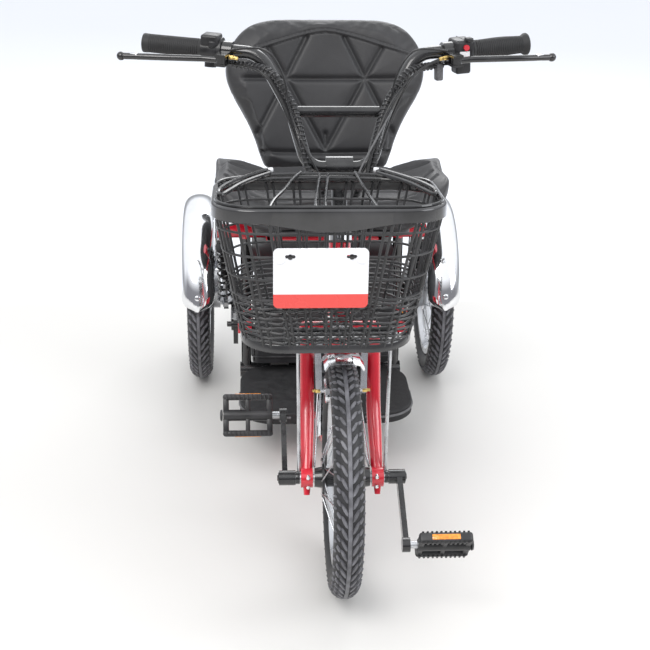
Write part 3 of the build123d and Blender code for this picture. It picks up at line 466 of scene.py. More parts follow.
def outline(points, closed=True, filled=False):
    """Ring of edges, or one face, through points in order."""
    deselect()
    bpy.ops.mesh.primitive_circle_add(vertices=len(points), radius=0.01,
                                      fill_type="NGON" if filled else "NOTHING")
    piece = bpy.context.object
    for vertex, point in zip(piece.data.vertices, points):
        vertex.co = point
    if not closed:
        edit(piece)
        bpy.ops.mesh.select_all(action="DESELECT")
        leave_edit()
        last = len(points) - 1
        for edge in piece.data.edges:
            edge.select = set(edge.vertices) == {0, last}
        bpy.ops.object.mode_set(mode="EDIT")
        bpy.ops.mesh.select_mode(type="EDGE")
        bpy.ops.mesh.delete(type="EDGE")
        bpy.ops.mesh.select_mode(type="VERT")
        leave_edit()
    return piece


def lathe(points, centre, steps=96, axis=(1, 0, 0), across=(0, 0, 1), closed=True, turn=2 * pi):
    """Spins an outline of (along the axis, radius) about the axis through the centre."""
    centre = Vector(centre)
    along = Vector(axis).normalized()
    out = Vector(across)
    out = (out - along * out.dot(along)).normalized()
    piece = outline([centre + along * a + out * r for a, r in points], closed)
    edit(piece)
    bpy.ops.mesh.spin(steps=steps, angle=turn, center=centre, axis=along)
    bpy.ops.mesh.select_all(action="SELECT")
    bpy.ops.mesh.remove_doubles(threshold=0.00001)
    bpy.ops.mesh.normals_make_consistent(inside=False)
    leave_edit()
    return piece


def wires(routes, radius, cyclic=False, smooth=False, sides=2, resolution=8):
    """Round wires along routes, straight between points or smooth past them."""
    deselect()
    bpy.ops.curve.primitive_bezier_curve_add()
    piece = bpy.context.object
    curve = piece.data
    curve.splines.clear()
    curve.dimensions = "3D"
    curve.bevel_depth = radius
    curve.bevel_resolution = sides
    curve.resolution_u = resolution
    curve.use_fill_caps = True
    for route in routes:
        spline = curve.splines.new("NURBS" if smooth else "POLY")
        spline.points.add(len(route) - 1)
        for knot, place in zip(spline.points, route):
            knot.co = (*place, 1)
        spline.use_cyclic_u = cyclic
        if smooth:
            spline.order_u = 3
            spline.use_endpoint_u = not cyclic
    take(piece)
    bpy.ops.object.convert(target="MESH")
    return bpy.context.object


def bands(route, profile, cyclic=True):
    """Flat bar: a closed profile carried along a route."""
    deselect()
    bpy.ops.curve.primitive_bezier_circle_add()
    section = bpy.context.object
    section.data.splines.clear()
    section.data.dimensions = "2D"
    spline = section.data.splines.new("POLY")
    spline.points.add(len(profile) - 1)
    for knot, (x, y) in zip(spline.points, profile):
        knot.co = (x, y, 0, 1)
    spline.use_cyclic_u = True
    deselect()
    bpy.ops.curve.primitive_bezier_curve_add()
    piece = bpy.context.object
    curve = piece.data
    curve.splines.clear()
    curve.dimensions = "3D"
    curve.twist_mode = "Z_UP"
    curve.bevel_mode = "OBJECT"
    curve.bevel_object = section
    curve.use_fill_caps = not cyclic
    spline = curve.splines.new("POLY")
    spline.points.add(len(route) - 1)
    for knot, place in zip(spline.points, route):
        knot.co = (*place, 1)
    spline.use_cyclic_u = cyclic
    take(piece)
    bpy.ops.object.convert(target="MESH")
    piece = bpy.context.object
    bpy.data.objects.remove(section)
    edit(piece)
    bpy.ops.mesh.normals_make_consistent(inside=False)
    leave_edit()
    return piece


def ring_copies(piece, centre, count, axis="X"):
    """Repeats the piece round the axis through the centre."""
    settle(piece)
    deselect()
    bpy.ops.object.empty_add()
    marker = bpy.context.object
    centre = Vector(centre)
    turn = Matrix.Rotation(2 * pi / count, 4, axis)
    marker.matrix_world = Matrix.Translation(centre) @ turn @ Matrix.Translation(-centre)
    bpy.context.view_layer.update()
    take(piece)
    array = piece.modifiers.new("Round", "ARRAY")
    array.use_relative_offset = False
    array.use_object_offset = True
    array.offset_object = marker
    array.count = count
    bpy.ops.object.modifier_apply(modifier=array.name)
    bpy.data.objects.remove(marker)
    return piece


def mirrored(piece):
    """Copy of the piece on the other side of the middle."""
    settle(piece)
    take(piece)
    bpy.ops.object.duplicate()
    other = bpy.context.object
    for vertex in other.data.vertices:
        vertex.co.x = -vertex.co.x
    edit(other)
    bpy.ops.mesh.flip_normals()
    leave_edit()
    return other


def copied(piece, move):
    take(piece)
    bpy.ops.object.duplicate()
    other = bpy.context.object
    other.location = Vector(other.location) + Vector(move)
    return settle(other)


def mm(x, y, z):
    return Vector((x, y, z)) * MM


# --- places on the steering and the handlebar ---------------------------------------
steer_foot = mm(0, -410.38, 189.49)
steer_up = Vector((0, sin(radians(20)), cos(radians(20))))
steer_back = Vector((0, cos(radians(20)), -sin(radians(20))))
bar_end = mm(330, -108.48, 870.77)
bar_out = Vector((0.969383, 0.242346, 0.039567))
bar_forward = Vector((0.242144, -0.97019, 0.009883))
bar_up = Vector((-0.040782, 0, 0.999168))
grip_reach = 103.3          # from the bar's end to the grip's inner end, in millimetres
housing_middle = grip_reach + 17
clamp_inner = grip_reach + 34 + 18  # inner side of the lever clamp


def at_steer(x, back, up):
    """Point across, behind and up the steering axis, given in millimetres."""
    return steer_foot + Vector((x * MM, 0, 0)) + steer_back * back * MM + steer_up * up * MM


def on_bar(inboard, forward=0.0, up=0.0):
    """Point on the left grip's line, given in millimetres."""
    return bar_end + (bar_forward * forward + bar_up * up - bar_out * inboard) * MM


def flip(point):
    return Vector((-point.x, point.y, point.z))


# --- tyres ---------------------------------------------------------------------------
def tyre_section(crown):
    """Carcass outline with raised rings low on each wall."""
    middle = wheel_radius - tyre_half
    points = []
    for step in range(-14, 15):
        a = radians(step * 10)
        ring = 0.6 * MM if abs(step) in (9, 11) else 0.0
        reach = crown + ring
        points.append((reach * sin(a), middle + reach * cos(a)))
    return points


def lug(place_angle, slant, length, width, height, crown):
    """Leaf shaped block standing on the carcass at the top of the wheel."""
    middle = wheel_radius - tyre_half
    deselect()
    bpy.ops.mesh.primitive_cylinder_add(vertices=8, radius=0.5, depth=1)
    piece = bpy.context.object
    edit(piece)
    bpy.ops.mesh.select_all(action="DESELECT")
    leave_edit()
    for face in piece.data.polygons:
        face.select = face.normal.z > 0.9
    bpy.ops.object.mode_set(mode="EDIT")
    bpy.ops.transform.resize(value=(0.78, 0.7, 1))
    leave_edit()
    normal = Vector((sin(place_angle), 0, cos(place_angle)))
    across_tread = Vector((cos(place_angle), 0, -sin(place_angle)))
    way = across_tread * cos(slant) + Vector((0, 1, 0)) * sin(slant)
    side = normal.cross(way)
    turn = Matrix((way, side, normal)).transposed().to_4x4()
    centre = Vector((crown * sin(place_angle), 0, middle + crown * cos(place_angle)))
    sunk = 1.2 * MM
    lift = normal * (height - sunk) / 2
    piece.matrix_world = (Matrix.Translation(centre + lift) @ turn
                          @ Matrix.Diagonal((length, width, height + sunk, 1)))
    return settle(piece)


def tread(settings):
    """Carcass, centre rib and every lug of one tyre, about the origin's X axis."""
    height = settings.lug_height
    crown = tyre_half - height
    slant = settings.lug_slant
    middle = wheel_radius - tyre_half
    carcass = lathe(tyre_section(crown), (0, 0, 0), steps=120)
    rib_half = 3.2 * MM
    rib_top = middle + crown + height
    rib = [(-rib_half, middle + crown - MM), (-rib_half, rib_top - 0.4 * MM),
           (-rib_half + 0.5 * MM, rib_top), (rib_half - 0.5 * MM, rib_top),
           (rib_half, rib_top - 0.4 * MM), (rib_half, middle + crown - MM)]
    parts = [carcass, lathe(rib, (0, 0, 0), steps=120)]
    pitch_turn = 2 * pi / settings.lug_pitches
    for side in (-1, 1):
        row = [lug(side * radians(20), side * slant, 25 * MM, 6.8 * MM, height, crown),
               lug(side * radians(44), side * (slant - 0.2), 14 * MM, 5.8 * MM,
                   height * 0.92, crown),
               lug(side * radians(66), side * 0.35, 8 * MM, 4.6 * MM, height * 0.75, crown)]
        row[1].matrix_world = Matrix.Rotation(pitch_turn * 0.5, 4, "X")
        block_row = join(row)
        if side > 0:
            block_row.matrix_world = Matrix.Rotation(pitch_turn * 0.5, 4, "X")
            settle(block_row)
        parts.append(ring_copies(block_row, (0, 0, 0), settings.lug_pitches))
    return parts


class TRICYCLE_OT_tyres(bpy.types.Operator):
    """Tyres with their ribs and lugs, and the valves in the rims"""
    bl_idname = "tricycle.tyres"
    bl_label = "Tyres"

    def execute(self, context):
        parts = tread(context.scene.tricycle_tyres)
        carcass = parts[0]
        blocks = join(parts[1:])
        places = (("front", "", front_axle, "front_wheel"),
                  ("rear", "_left", rear_axle, "rear_wheel_left"),
                  ("rear", "_right", flip(rear_axle), "rear_wheel_right"))
        for prefix, suffix, centre, body in places:
            node = f"{prefix}_tyre{suffix}"
            hand_over(copied(carcass, centre), f"{prefix}_carcass{suffix}", body,
                      "tyre_rubber", (node,), 50)
            # Tread blocks get the lighter rubber with its painted highlight.
            hand_over(copied(blocks, centre), f"{prefix}_tread{suffix}", body,
                      "lug_rubber_painted_highlight", (), 30)
            stem = [(0, 0), (2.7 * MM, 0), (2.7 * MM, 3 * MM), (1.9 * MM, 4 * MM),
                    (1.9 * MM, 20 * MM), (2.9 * MM, 21 * MM), (2.9 * MM, 30 * MM), (0, 31 * MM)]
            foot = centre + Vector((0, 0, -(wheel_radius - 68 * MM)))
            valve = lathe([(a, r) for r, a in stem], foot, steps=14, axis=(0, 0, 1),
                          across=(1, 0, 0), closed=False)
            hand_over(valve, f"{prefix}_valve{suffix}", body, "grip_rubber")
        bpy.data.objects.remove(carcass)
        bpy.data.objects.remove(blocks)
        return {"FINISHED"}


class TRICYCLE_OT_finishes(bpy.types.Operator):
    """Paint, metal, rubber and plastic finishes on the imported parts"""
    bl_idname = "tricycle.finishes"
    bl_label = "Finishes"

    def execute(self, context):
        make_finishes(context.scene.tricycle_colours)
        for finish, nodes in node_finishes.items():
            for node in nodes:
                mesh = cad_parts[node].data
                mesh.materials.clear()
                mesh.materials.append(finishes[finish])
        missing = set(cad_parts) - {n for nodes in node_finishes.values() for n in nodes}
        if missing:
            raise RuntimeError(f"no finish for {sorted(missing)}")
        return {"FINISHED"}


# --- basket ------------------------------------------------------------------------------
basket_low, basket_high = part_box("basket")
basket_x = (basket_low.x + basket_high.x) / 2
basket_base = mm(basket_x / MM, -435.5, 468)
base_half = (136 * MM, 86 * MM)
rim_half = ((basket_high.x - basket_low.x) / 2, 124.6 * MM)
rim_middle = mm(basket_x / MM, -435.5, 700)
rim_slope = -24.0 / 248.0
corner_radius = 68 * MM
corner_steps = 10


def rounded_ring(half_x, half_y, radius, side_x, side_y, shrink=0.0):
    """Points round a rounded rectangle, counter-clockwise from the front's left end."""
    half_x -= shrink
    half_y -= shrink
    radius = max(radius - shrink, 2 * MM)
    points = []
    corners = ((1, -1, -90), (1, 1, 0), (-1, 1, 90), (-1, -1, 180))
    counts = (side_y, side_x, side_y, side_x)
    for (sx, sy, start), count in zip(corners, counts):
        cx = sx * (half_x - radius)
        cy = sy * (half_y - radius)
        for step in range(corner_steps + 1):
            a = radians(start + 90 * step / corner_steps)
            points.append((cx + radius * cos(a), cy + radius * sin(a)))
        nx, ny = {(1, -1): (1, 1), (1, 1): (-1, 1), (-1, 1): (-1, -1), (-1, -1): (1, -1)}[(sx, sy)]
        last = points[-1]
        a = radians(start + 90)
        there = (nx * (half_x - radius) + radius * cos(a), ny * (half_y - radius) + radius * sin(a))
        for step in range(1, count):
            t = step / count
            points.append((last[0] + (there[0] - last[0]) * t, last[1] + (there[1] - last[1]) * t))
    return points


def basket_level(t, shrink=0.0, side_x=44, side_y=26):
    """Points round the basket's wall, from its base at 0 to its rim at 1."""
    half_x = base_half[0] + (rim_half[0] - base_half[0]) * t
    half_y = base_half[1] + (rim_half[1] - base_half[1]) * t
    middle = basket_base + (rim_middle - basket_base) * t
    ring = rounded_ring(half_x, half_y, corner_radius, side_x, side_y, shrink)
    return [Vector((middle.x + x, middle.y + y, middle.z + y * rim_slope * t)) for x, y in ring]


def wall_wires(settings):
    """Paired uprights, level wires and the woven foot."""
    inset = 2.5 * MM
    top_t, low_t = 0.97, 0.02
    high = basket_level(top_t, inset)
    low = basket_level(low_t, inset)
    count = len(high)
    uprights = []
    picks = []
    index = 0
    for length, pairs, gap in ((corner_steps, 2, 0.6), (26, 3, 1.4), (corner_steps, 2, 0.6),
                               (44, 5, 1.1), (corner_steps, 2, 0.6), (26, 3, 1.4),
                               (corner_steps, 2, 0.6), (44, 5, 1.1)):
        for pair in range(pairs):
            centre = index + length * (pair + 0.5) / pairs
            picks += [centre - gap, centre + gap]
        index += length
    for pick in picks:
        whole = int(pick)
        part = pick - whole
        top = high[whole % count].lerp(high[(whole + 1) % count], part)
        foot = low[whole % count].lerp(low[(whole + 1) % count], part)
        uprights.append([foot, top])
    levels = [basket_level(t, inset) for t in (0.385, 0.53, 0.69, 0.85)]
    woven = []
    rows = settings.woven_rows
    for row in range(rows):
        t = 0.07 + 0.29 * row / (rows - 1)
        inner = basket_level(t, inset + 2.2 * MM)
        outer = basket_level(t, inset - 2.2 * MM)
        way = row % 2
        ring = []
        for i, (a, b) in enumerate(zip(inner, outer)):
            swing = 0.5 + 0.5 * sin(2 * pi * i / 5.2 + pi * way)
            ring.append(a.lerp(b, swing))
        woven.append(ring)
    return uprights, levels, woven


def floor_wires():
    z = basket_base.z + 2 * MM
    routes = []
    for step in range(-5, 6):
        x = basket_x + step * 22 * MM
        reach = base_half[1] - (6 * MM if abs(step) < 5 else 22 * MM)
        routes.append([(x, basket_base.y - reach, z), (x, basket_base.y + reach, z)])
    for step in range(-3, 4):
        y = basket_base.y + step * 22 * MM
        reach = base_half[0] - (6 * MM if abs(step) < 3 else 20 * MM)
        routes.append([(basket_x - reach, y, z), (basket_x + reach, y, z)])
    return routes


def rim_band(settings):
    """Broad rounded band round the rim, deepest at the middle of the front."""
    drop = settings.band_drop
    profile = [(-5.5, -1), (-5.5, -drop / MM), (-3.5, -drop / MM - 1.5), (-2.2, -drop / MM),
               (-1.4, -6), (2.5, -3.5), (5.2, -1.5), (5.8, 0.6), (4.6, 2.4), (2, 3.4), (-1, 3.6),
               (-3.8, 2.4), (-5.2, 0.8)]
    route = basket_level(1.0, 5.8 * MM)
    piece = bands(route, [(-x * MM, y * MM) for x, y in profile])
    front = rim_middle.y - rim_half[1]
    for vertex in piece.data.vertices:
        across_front = (vertex.co.x - basket_x) / (120 * MM)
        level = rim_middle.z + (vertex.co.y - rim_middle.y) * rim_slope
        below = level - 4 * MM - vertex.co.z
        near = vertex.co.y - front < 30 * MM
        if below > 0 and near and abs(across_front) < 1:
            vertex.co.z -= 15 * MM * (0.5 + 0.5 * cos(pi * across_front)) * below / drop
    return piece


class TRICYCLE_OT_basket(bpy.types.Operator):
    """Woven basket with its rim band and floor"""
    bl_idname = "tricycle.basket"
    bl_label = "Basket"

    def execute(self, context):
        settings = context.scene.tricycle_basket
        radius = settings.wire_radius
        uprights, levels, woven = wall_wires(settings)
        upright_piece = wires(uprights, radius)
        level_piece = wires(levels, radius * 0.95, cyclic=True)
        woven_piece = wires(woven, radius * 0.8, cyclic=True, sides=1)
        floor_piece = wires(floor_wires(), radius * 0.9)
        net = join([upright_piece, level_piece, floor_piece])
        hand_over(net, "basket_wires", "steering", "black_moulded", ("basket",))
        hand_over(woven_piece, "basket_weave", "steering", "black_moulded")
        rim = rim_band(settings)
        hand_over(rim, "basket_rim", "steering", "black_shiny", (), 50)
        foot_profile = [(-2.4, -4), (-2.4, 8), (-1.2, 9.5), (0.4, 8), (0.8, 0), (2, -2.5),
                        (1.4, -4.5), (-1, -5)]
        foot = bands(basket_level(0.015, 2 * MM), [(-x * MM, y * MM) for x, y in foot_profile])
        hand_over(foot, "basket_foot", "steering", "black_shiny", (), 50)
        return {"FINISHED"}


def lid_point(x, y, rise=0.0):
    """Point over the rim's plane, in millimetres across and along."""
    return Vector((x * MM, y * MM, rim_middle.z + (y * MM - rim_middle.y) * rim_slope
                   + (4.2 + rise) * MM))


class TRICYCLE_OT_lid(bpy.types.Operator):
    """Wire lid with its fan of wires and two looped handles at the rear corners"""
    bl_idname = "tricycle.lid"
    bl_label = "Basket lid"

    def execute(self, context):
        loop = basket_level(1.0, 8 * MM)
        loop = [p + Vector((0, 0, 5.4 * MM)) for p in loop]
        ring = wires([loop], 2.6 * MM, cyclic=True)
        routes = []
        for x0, x1 in ((-39, -55), (-25, -41)):
            routes.append([lid_point(x0, -324, 6), lid_point(x0, -335, 8),
                           lid_point((x0 + x1) / 2, -430, 5), lid_point(x1, -530, 4),
                           lid_point(x1, -551, 1)])
        routes.append([lid_point(-69, -322, 9), lid_point(-81, -358, 9),
                       lid_point(-100, -451, 5), lid_point(-118, -515, 4),
                       lid_point(-123, -551, 1)])
        routes.append([lid_point(20, -322, 9), lid_point(22, -359, 9), lid_point(27, -453, 5),
                       lid_point(32, -525, 4), lid_point(36, -551, 1)])
        fan = wires(routes, 2.5 * MM, smooth=True)
        rails = wires([[lid_point(-184, -348, 2), lid_point(-146, -330, 6),
                        lid_point(-32, -326, 8), lid_point(82, -330, 6),
                        lid_point(120, -348, 2)],
                       [lid_point(-196, -375, 1), lid_point(-146, -348, 3),
                        lid_point(-32, -341, 4), lid_point(82, -348, 3),
                        lid_point(132, -375, 1)]], 2.4 * MM, smooth=True)
        handles = []
        lid_middle = basket_x / MM
        for side in (-1, 1):
            path = [(92, -330, 10), (84, -318, 14), (98, -326, 13), (144, -388, 9),
                    (164, -428, 6), (170, -452, 3), (165, -470, 1), (151, -440, 4),
                    (126, -384, 8), (88, -334, 10)]
            handles.append([lid_point(lid_middle + side * x, y, z) for x, y, z in path])
        loops = wires(handles, 3.6 * MM, smooth=True)
        whole = join([ring, fan, rails, loops])
        hand_over(whole, "lid_wires", "lid", "black_gloss", ("basket_lid",))
        tips = []
        for side in (-1, 1):
            tip = lid_point(lid_middle + side * 86, -321, 13)
            tips.append(rod(tip - Vector((side * 3 * MM, 0, 0)),
                            tip + Vector((side * 5 * MM, -3 * MM, 0)), 4.1 * MM, sides=16))
        hand_over(join(tips), "lid_tips", "lid", "label")
        hinge = []
        for x in (-112, -66, 2, 48):
            hinge.append(rod(lid_point(x - 8, -318, -3), lid_point(x + 8, -318, -3), 4.6 * MM,
                             sides=16))
        hand_over(join(hinge), "lid_hinges", "steering", "housing_plastic")
        return {"FINISHED"}


# --- plate -------------------------------------------------------------------------------
class TRICYCLE_OT_plate(bpy.types.Operator):
    """Bolts of the plate and the two round bumps pressed into it"""
    bl_idname = "tricycle.plate"
    bl_label = "Plate"

    def execute(self, context):
        low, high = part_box("plate")
        front = low.y
        middle = (low.x + high.x) / 2
        bumps = []
        for side in (-1, 1):
            centre = Vector((middle + side * 61 * MM, front, high.z - 17 * MM))
            profile = [(0, 8.5 * MM), (0.5 * MM, 8 * MM), (0.9 * MM, 5 * MM), (1 * MM, 0)]
            bumps.append(lathe([(a, r) for a, r in profile], centre, steps=28, axis=(0, -1, 0),
                               across=(1, 0, 0), closed=False))
        hand_over(join(bumps), "plate_bumps", "steering", "plate_face")
        bolts = []
        for side in (-1, 1):
            centre = Vector((middle + side * 46 * MM, front, high.z - 13 * MM))
            profile = [(-4 * MM, 2.2 * MM), (0.2 * MM, 2.2 * MM), (0.2 * MM, 4.2 * MM),
                       (1.2 * MM, 4.0 * MM), (1.8 * MM, 2.5 * MM), (1.9 * MM, 0)]
            bolts.append(lathe(profile, centre, steps=24, axis=(0, -1, 0), across=(1, 0, 0),
                               closed=False))
        hand_over(join(bolts), "plate_bolts", "steering", "black_gloss")
        return {"FINISHED"}


# --- handlebar ---------------------------------------------------------------------------
def grip_profile(flared):
    """Outline along a grip, from its outer end inboard, as (inboard, radius) in millimetres."""
    points = [(-3.4, 0), (-3.4, 9), (-3.2, 14)]
    if flared:
        points += [(-2.6, 18.6), (-1, 19.4), (2, 19.0), (6, 16.4)]
        swell = lambda s: 15.0 + 1.5 * sin(pi * min(1, s / 92)) ** 2
    else:
        points += [(-2.6, 15.8), (-1, 16.3), (3, 16.4)]
        swell = lambda s: 15.9
    step = 3.4
    s = 8.0
    while s < 96:
        top = swell(s)
        points += [(s, top), (s + 1.9, top), (s + 2.2, top - 0.8), (s + 3.1, top - 0.8)]
        s += step
    points += [(99, 16.6), (102, 16.9), (103, 16.2), (103, 11.4)]
    return points


def tube_round(points, start, way, out):
    """Lathe for an outline in millimetres about a line from start along way."""
    return lathe([(s * MM, r * MM) for s, r in points], start, steps=40, axis=way, across=out,
                 closed=False)


def wrapped_loom(route, radius, turns):
    """Wire bundle and the spiral wrap wound round it."""
    deselect()
    bundle = wires([route], radius, smooth=True, sides=4, resolution=12)
    bpy.ops.curve.primitive_bezier_curve_add()
    guide = bpy.context.object
    curve = guide.data
    curve.splines.clear()
    curve.dimensions = "3D"
    curve.resolution_u = 24
    spline = curve.splines.new("NURBS")
    spline.points.add(len(route) - 1)
    for knot, place in zip(spline.points, route):
        knot.co = (*place, 1)
    spline.order_u = 3
    spline.use_endpoint_u = True
    line = bpy.data.meshes.new_from_object(guide)
    path = [v.co.copy() for v in line.vertices]
    bpy.data.objects.remove(guide)
    bpy.data.meshes.remove(line)
    spans = [(b - a).length for a, b in zip(path, path[1:])]
    whole = sum(spans)
    helix = []
    count = turns * 12
    side = (path[1] - path[0]).orthogonal().normalized()
    passed = 0.0
    leg = 0
    for step in range(count + 1):
        goal = whole * step / count * 0.999
        while leg < len(spans) - 1 and passed + spans[leg] < goal:
            passed += spans[leg]
            leg += 1
        along = (path[leg + 1] - path[leg]).normalized()
        point = path[leg] + along * (goal - passed)
        side = (side - along * side.dot(along)).normalized()
        other = along.cross(side)
        a = 2 * pi * step / 12
        helix.append(point + (side * cos(a) + other * sin(a)) * radius * 1.12)
    wrap = wires([helix], radius * 0.34, smooth=True, sides=1, resolution=3)
    return bundle, wrap


bar_middle = mm(0, -230.48, 683.77)


def from_bar(x, y, z):
    return bar_middle + mm(x, y, z)


def loom_route():
    base = from_bar(54, 0, 0)
    knee = from_bar(80, 43, 86)
    bend = from_bar(134, 73, 179)
    beside = mm(-6, -23, 8)
    return [on_bar(clamp_inner + 2, 4, -21), on_bar(clamp_inner + 20, 7, -21),
            bend * 0.72 + knee * 0.28 + beside + mm(3, 0, -2),
            bend * 0.36 + knee * 0.64 + beside, knee + beside + mm(0, -1, 0),
            knee * 0.5 + base * 0.5 + beside + mm(3, -2, 4), base + mm(2, -23, 0),
            base + mm(-16, -26, -20), base + mm(-28, -28, -46)]


def brake_route():
    return [on_bar(clamp_inner + 1, 24, -6), on_bar(clamp_inner + 34, 27, -8), from_bar(98, 18, 128),
            from_bar(72, -2, 84), from_bar(52, -25, 34), from_bar(40, -42, -22),
            from_bar(34, -58, -80), from_bar(31, -79, -136), at_steer(28, -27, 316),
            at_steer(21, -32, 270)]


class TRICYCLE_OT_handlebar(bpy.types.Operator):
    """Grips, wire bundles, switches, adjusters and the small tag on the bar"""
    bl_idname = "tricycle.handlebar"
    bl_label = "Handlebar"

    def execute(self, context):
        left = tube_round(grip_profile(True), on_bar(0), -bar_out, bar_up)
        hand_over(left, "grip_left", "steering", "grip_rubber", ("left_grip",))
        right = tube_round(grip_profile(False), flip(on_bar(0)), flip(-bar_out), bar_up)
        hand_over(right, "grip_throttle", "throttle", "grip_rubber",
                  ("throttle_grip",))
        bundle, wrap = wrapped_loom(loom_route(), 5.1 * MM, 40)
        other_bundle = mirrored(bundle)
        other_wrap = mirrored(wrap)
        hand_over(join([bundle, other_bundle]), "loom_bundles", "steering",
                  "sheath", ("wiring_loom",))
        hand_over(join([wrap, other_wrap]), "loom_wraps", "steering", "wrap")
        cable = wires([brake_route()], 2.5 * MM, smooth=True, sides=4, resolution=12)
        hand_over(cable, "brake_cable_sheath", "steering", "sheath",
                  ("brake_cable",))
        thin = self.thin_cables()
        hand_over(thin, "thin_cables", "steering", "sheath")
        crossing = [from_bar(88, 12, 96), from_bar(62, -20, 58), from_bar(40, -36, 22),
                    from_bar(26, -42, -8), from_bar(18, -46, -44)]
        hand_over(wires([crossing], 1.7 * MM, smooth=True), "crossing_cable", "steering",
                  "grey_trim")
        self.switches()
        self.adjusters()
        return {"FINISHED"}

    def thin_cables(self):
        """Throttle and brake-switch cables, run down the bar on both sides."""
        route = [on_bar(clamp_inner - 22, 4, -21), on_bar(clamp_inner + 18, 15, -19),
                 from_bar(128, 30, 158), from_bar(103, 20, 118), from_bar(86, 16, 78),
                 from_bar(66, -18, 26), from_bar(44, -27, -8), from_bar(24, -30, -34)]
        upper = [on_bar(clamp_inner + 1, 27, 6),
                 on_bar(clamp_inner + 30, 30, 14), from_bar(118, 24, 196),
                 from_bar(92, 22, 150), from_bar(86, 20, 96), from_bar(58, -20, 36),
                 from_bar(30, -32, -12), from_bar(22, -34, -40)]
        routes = [route, upper, [flip(p) for p in route], [flip(p) for p in upper]]
        return wires(routes, 1.9 * MM, smooth=True, sides=3, resolution=10)

    def switches(self):
        """Extra blocks, the thumb latch and the blank labels."""
        turn = Matrix((bar_out, -bar_forward, bar_up)).transposed().to_4x4()
        mid = housing_middle
        lower = block(on_bar(mid + 4, 10, -26), (27 * MM, 27 * MM, 22 * MM), turn, 4 * MM, 3)
        latch = block(on_bar(mid - 6, 20, 21), (12 * MM, 16 * MM, 7 * MM), turn, 2.4 * MM, 3)
        seam = block(on_bar(mid, 0, 0.0), (1.4 * MM, 45 * MM, 41 * MM), turn, 0.6 * MM, 2)
        hand_over(join([lower, latch, seam]), "switch_blocks", "steering",
                  "housing_plastic")
        tag = block(on_bar(mid + 2, 22.3, -3), (18 * MM, 1.2 * MM, 9 * MM), turn, 0.4 * MM, 2)
        hand_over(tag, "switch_label", "steering", "label")
        sensor = block(on_bar(mid + 46, 12, -32), (13 * MM, 14 * MM, 28 * MM), turn, 3 * MM, 3)
        hand_over(sensor, "switch_sensor", "steering", "grey_trim")
        far_out, far_forward = flip(bar_out), flip(bar_forward)
        far_up = flip(bar_up)
        far_turn = Matrix((-far_out, -far_forward, far_up)).transposed().to_4x4()
        lump = block(flip(on_bar(mid - 2, 4, 17)), (31 * MM, 34 * MM, 20 * MM), far_turn,
                     4.5 * MM, 4)
        button = block(flip(on_bar(mid + 3, 17, 12)), (12 * MM, 14 * MM, 12 * MM), far_turn,
                       3 * MM, 3)
        ring = tube_round([(0, 20.6), (0.6, 22), (3.4, 22), (4, 20.6)], flip(on_bar(mid + 6)),
                          flip(-bar_out), bar_up)
        hand_over(join([lump, button, ring]), "throttle_blocks", "steering",
                  "housing_plastic")
        place = from_bar(-3, -25, -16)
        tag = block(place, (20 * MM, 1.4 * MM, 13 * MM), Matrix.Rotation(-0.35, 4, "X"),
                    0.6 * MM, 2)
        clip = block(place - mm(0, 0.7, 0), (17 * MM, 1.4 * MM, 10 * MM),
                     Matrix.Rotation(-0.35, 4, "X"), 0.4 * MM, 2)
        hand_over(tag, "stem_tag", "steering", "label")
        hand_over(clip, "stem_tag_holder", "steering", "housing_plastic")

    def adjusters(self):
        barrels = []
        for turned in (False, True):
            place = flip if turned else (lambda p: p)
            barrels.append(rod(place(on_bar(clamp_inner - 3, 24, -6)),
                               place(on_bar(clamp_inner + 8, 25, -6)),
                               4.4 * MM, 3.2 * MM, sides=12))
            barrels.append(rod(place(on_bar(clamp_inner + 8, 25, -6)),
                               place(on_bar(clamp_inner + 16, 26, -7)),
                               3.1 * MM, 2.7 * MM, sides=12))
        hand_over(join(barrels), "cable_adjusters", "steering", "brass")
        for name, side in (("left", 1), ("right", -1)):
            place = (lambda p: p) if side > 0 else flip
            cap = rod(place(on_bar(-8, 57, -13)), place(on_bar(6, 58, -12)), 6.3 * MM, 6.0 * MM,
                      sides=16, bevel=1.2 * MM)
            hand_over(cap, f"lever_cap_{name}", f"lever_{name}", "chrome")


# --- front brake and fork ------------------------------------------------------------------
class TRICYCLE_OT_front_brake(bpy.types.Operator):
    """Caliper spring, pad bolts and shoes, the nut on the caliper's spindle and the fork's pinch
    bolts
    """
    bl_idname = "tricycle.front_brake"
    bl_label = "Front brake and fork"

    def execute(self, context):
        for name, side, layer in (("left", 1, 0), ("right", -1, 1)):
            back = -25 - layer * 6.3 - 3
            bolt = rod(at_steer(side * 36, back, 147), at_steer(side * 44, back, 147), 4.6 * MM,
                       sides=6)
            tip = rod(at_steer(side * 44, back, 147), at_steer(side * 49, back, 147), 2.6 * MM,
                      sides=14)
            hand_over(join([bolt, tip]), f"pad_bolt_{name}", f"caliper_{name}", "brass")
            shoe = block(at_steer(side * 24.2, back, 147), (9.6 * MM, 14 * MM, 50 * MM),
                         Matrix.Rotation(radians(-75), 4, "X"), 2 * MM, 2)
            hand_over(shoe, f"pad_shoe_{name}", f"caliper_{name}",
                      "bright_alloy")
        spring = wires([[at_steer(-30, -38, 228), at_steer(-14, -40, 248), at_steer(0, -41, 256),
                         at_steer(14, -40, 248), at_steer(30, -38, 228)]], 1.1 * MM, smooth=True)
        hand_over(spring, "caliper_spring", "steering", "steel")
        nut = rod(at_steer(0, -44, 252), at_steer(0, -50, 252), 6.8 * MM, sides=6)
        hand_over(nut, "caliper_nut", "steering", "chrome")
        bolts = []
        for side in (-1, 1):
            start = Vector((side * 70 * MM, front_axle.y, front_axle.z))
            for dz in (-9, 9):
                place = start + mm(0, 0, dz)
                bolts.append(rod(place - mm(side * 12, 6, 0), place - mm(side * 12, 19, 0),
                                 3.4 * MM, sides=12))
        hand_over(join(bolts), "fork_pinch_bolts", "steering", "chrome")
        return {"FINISHED"}


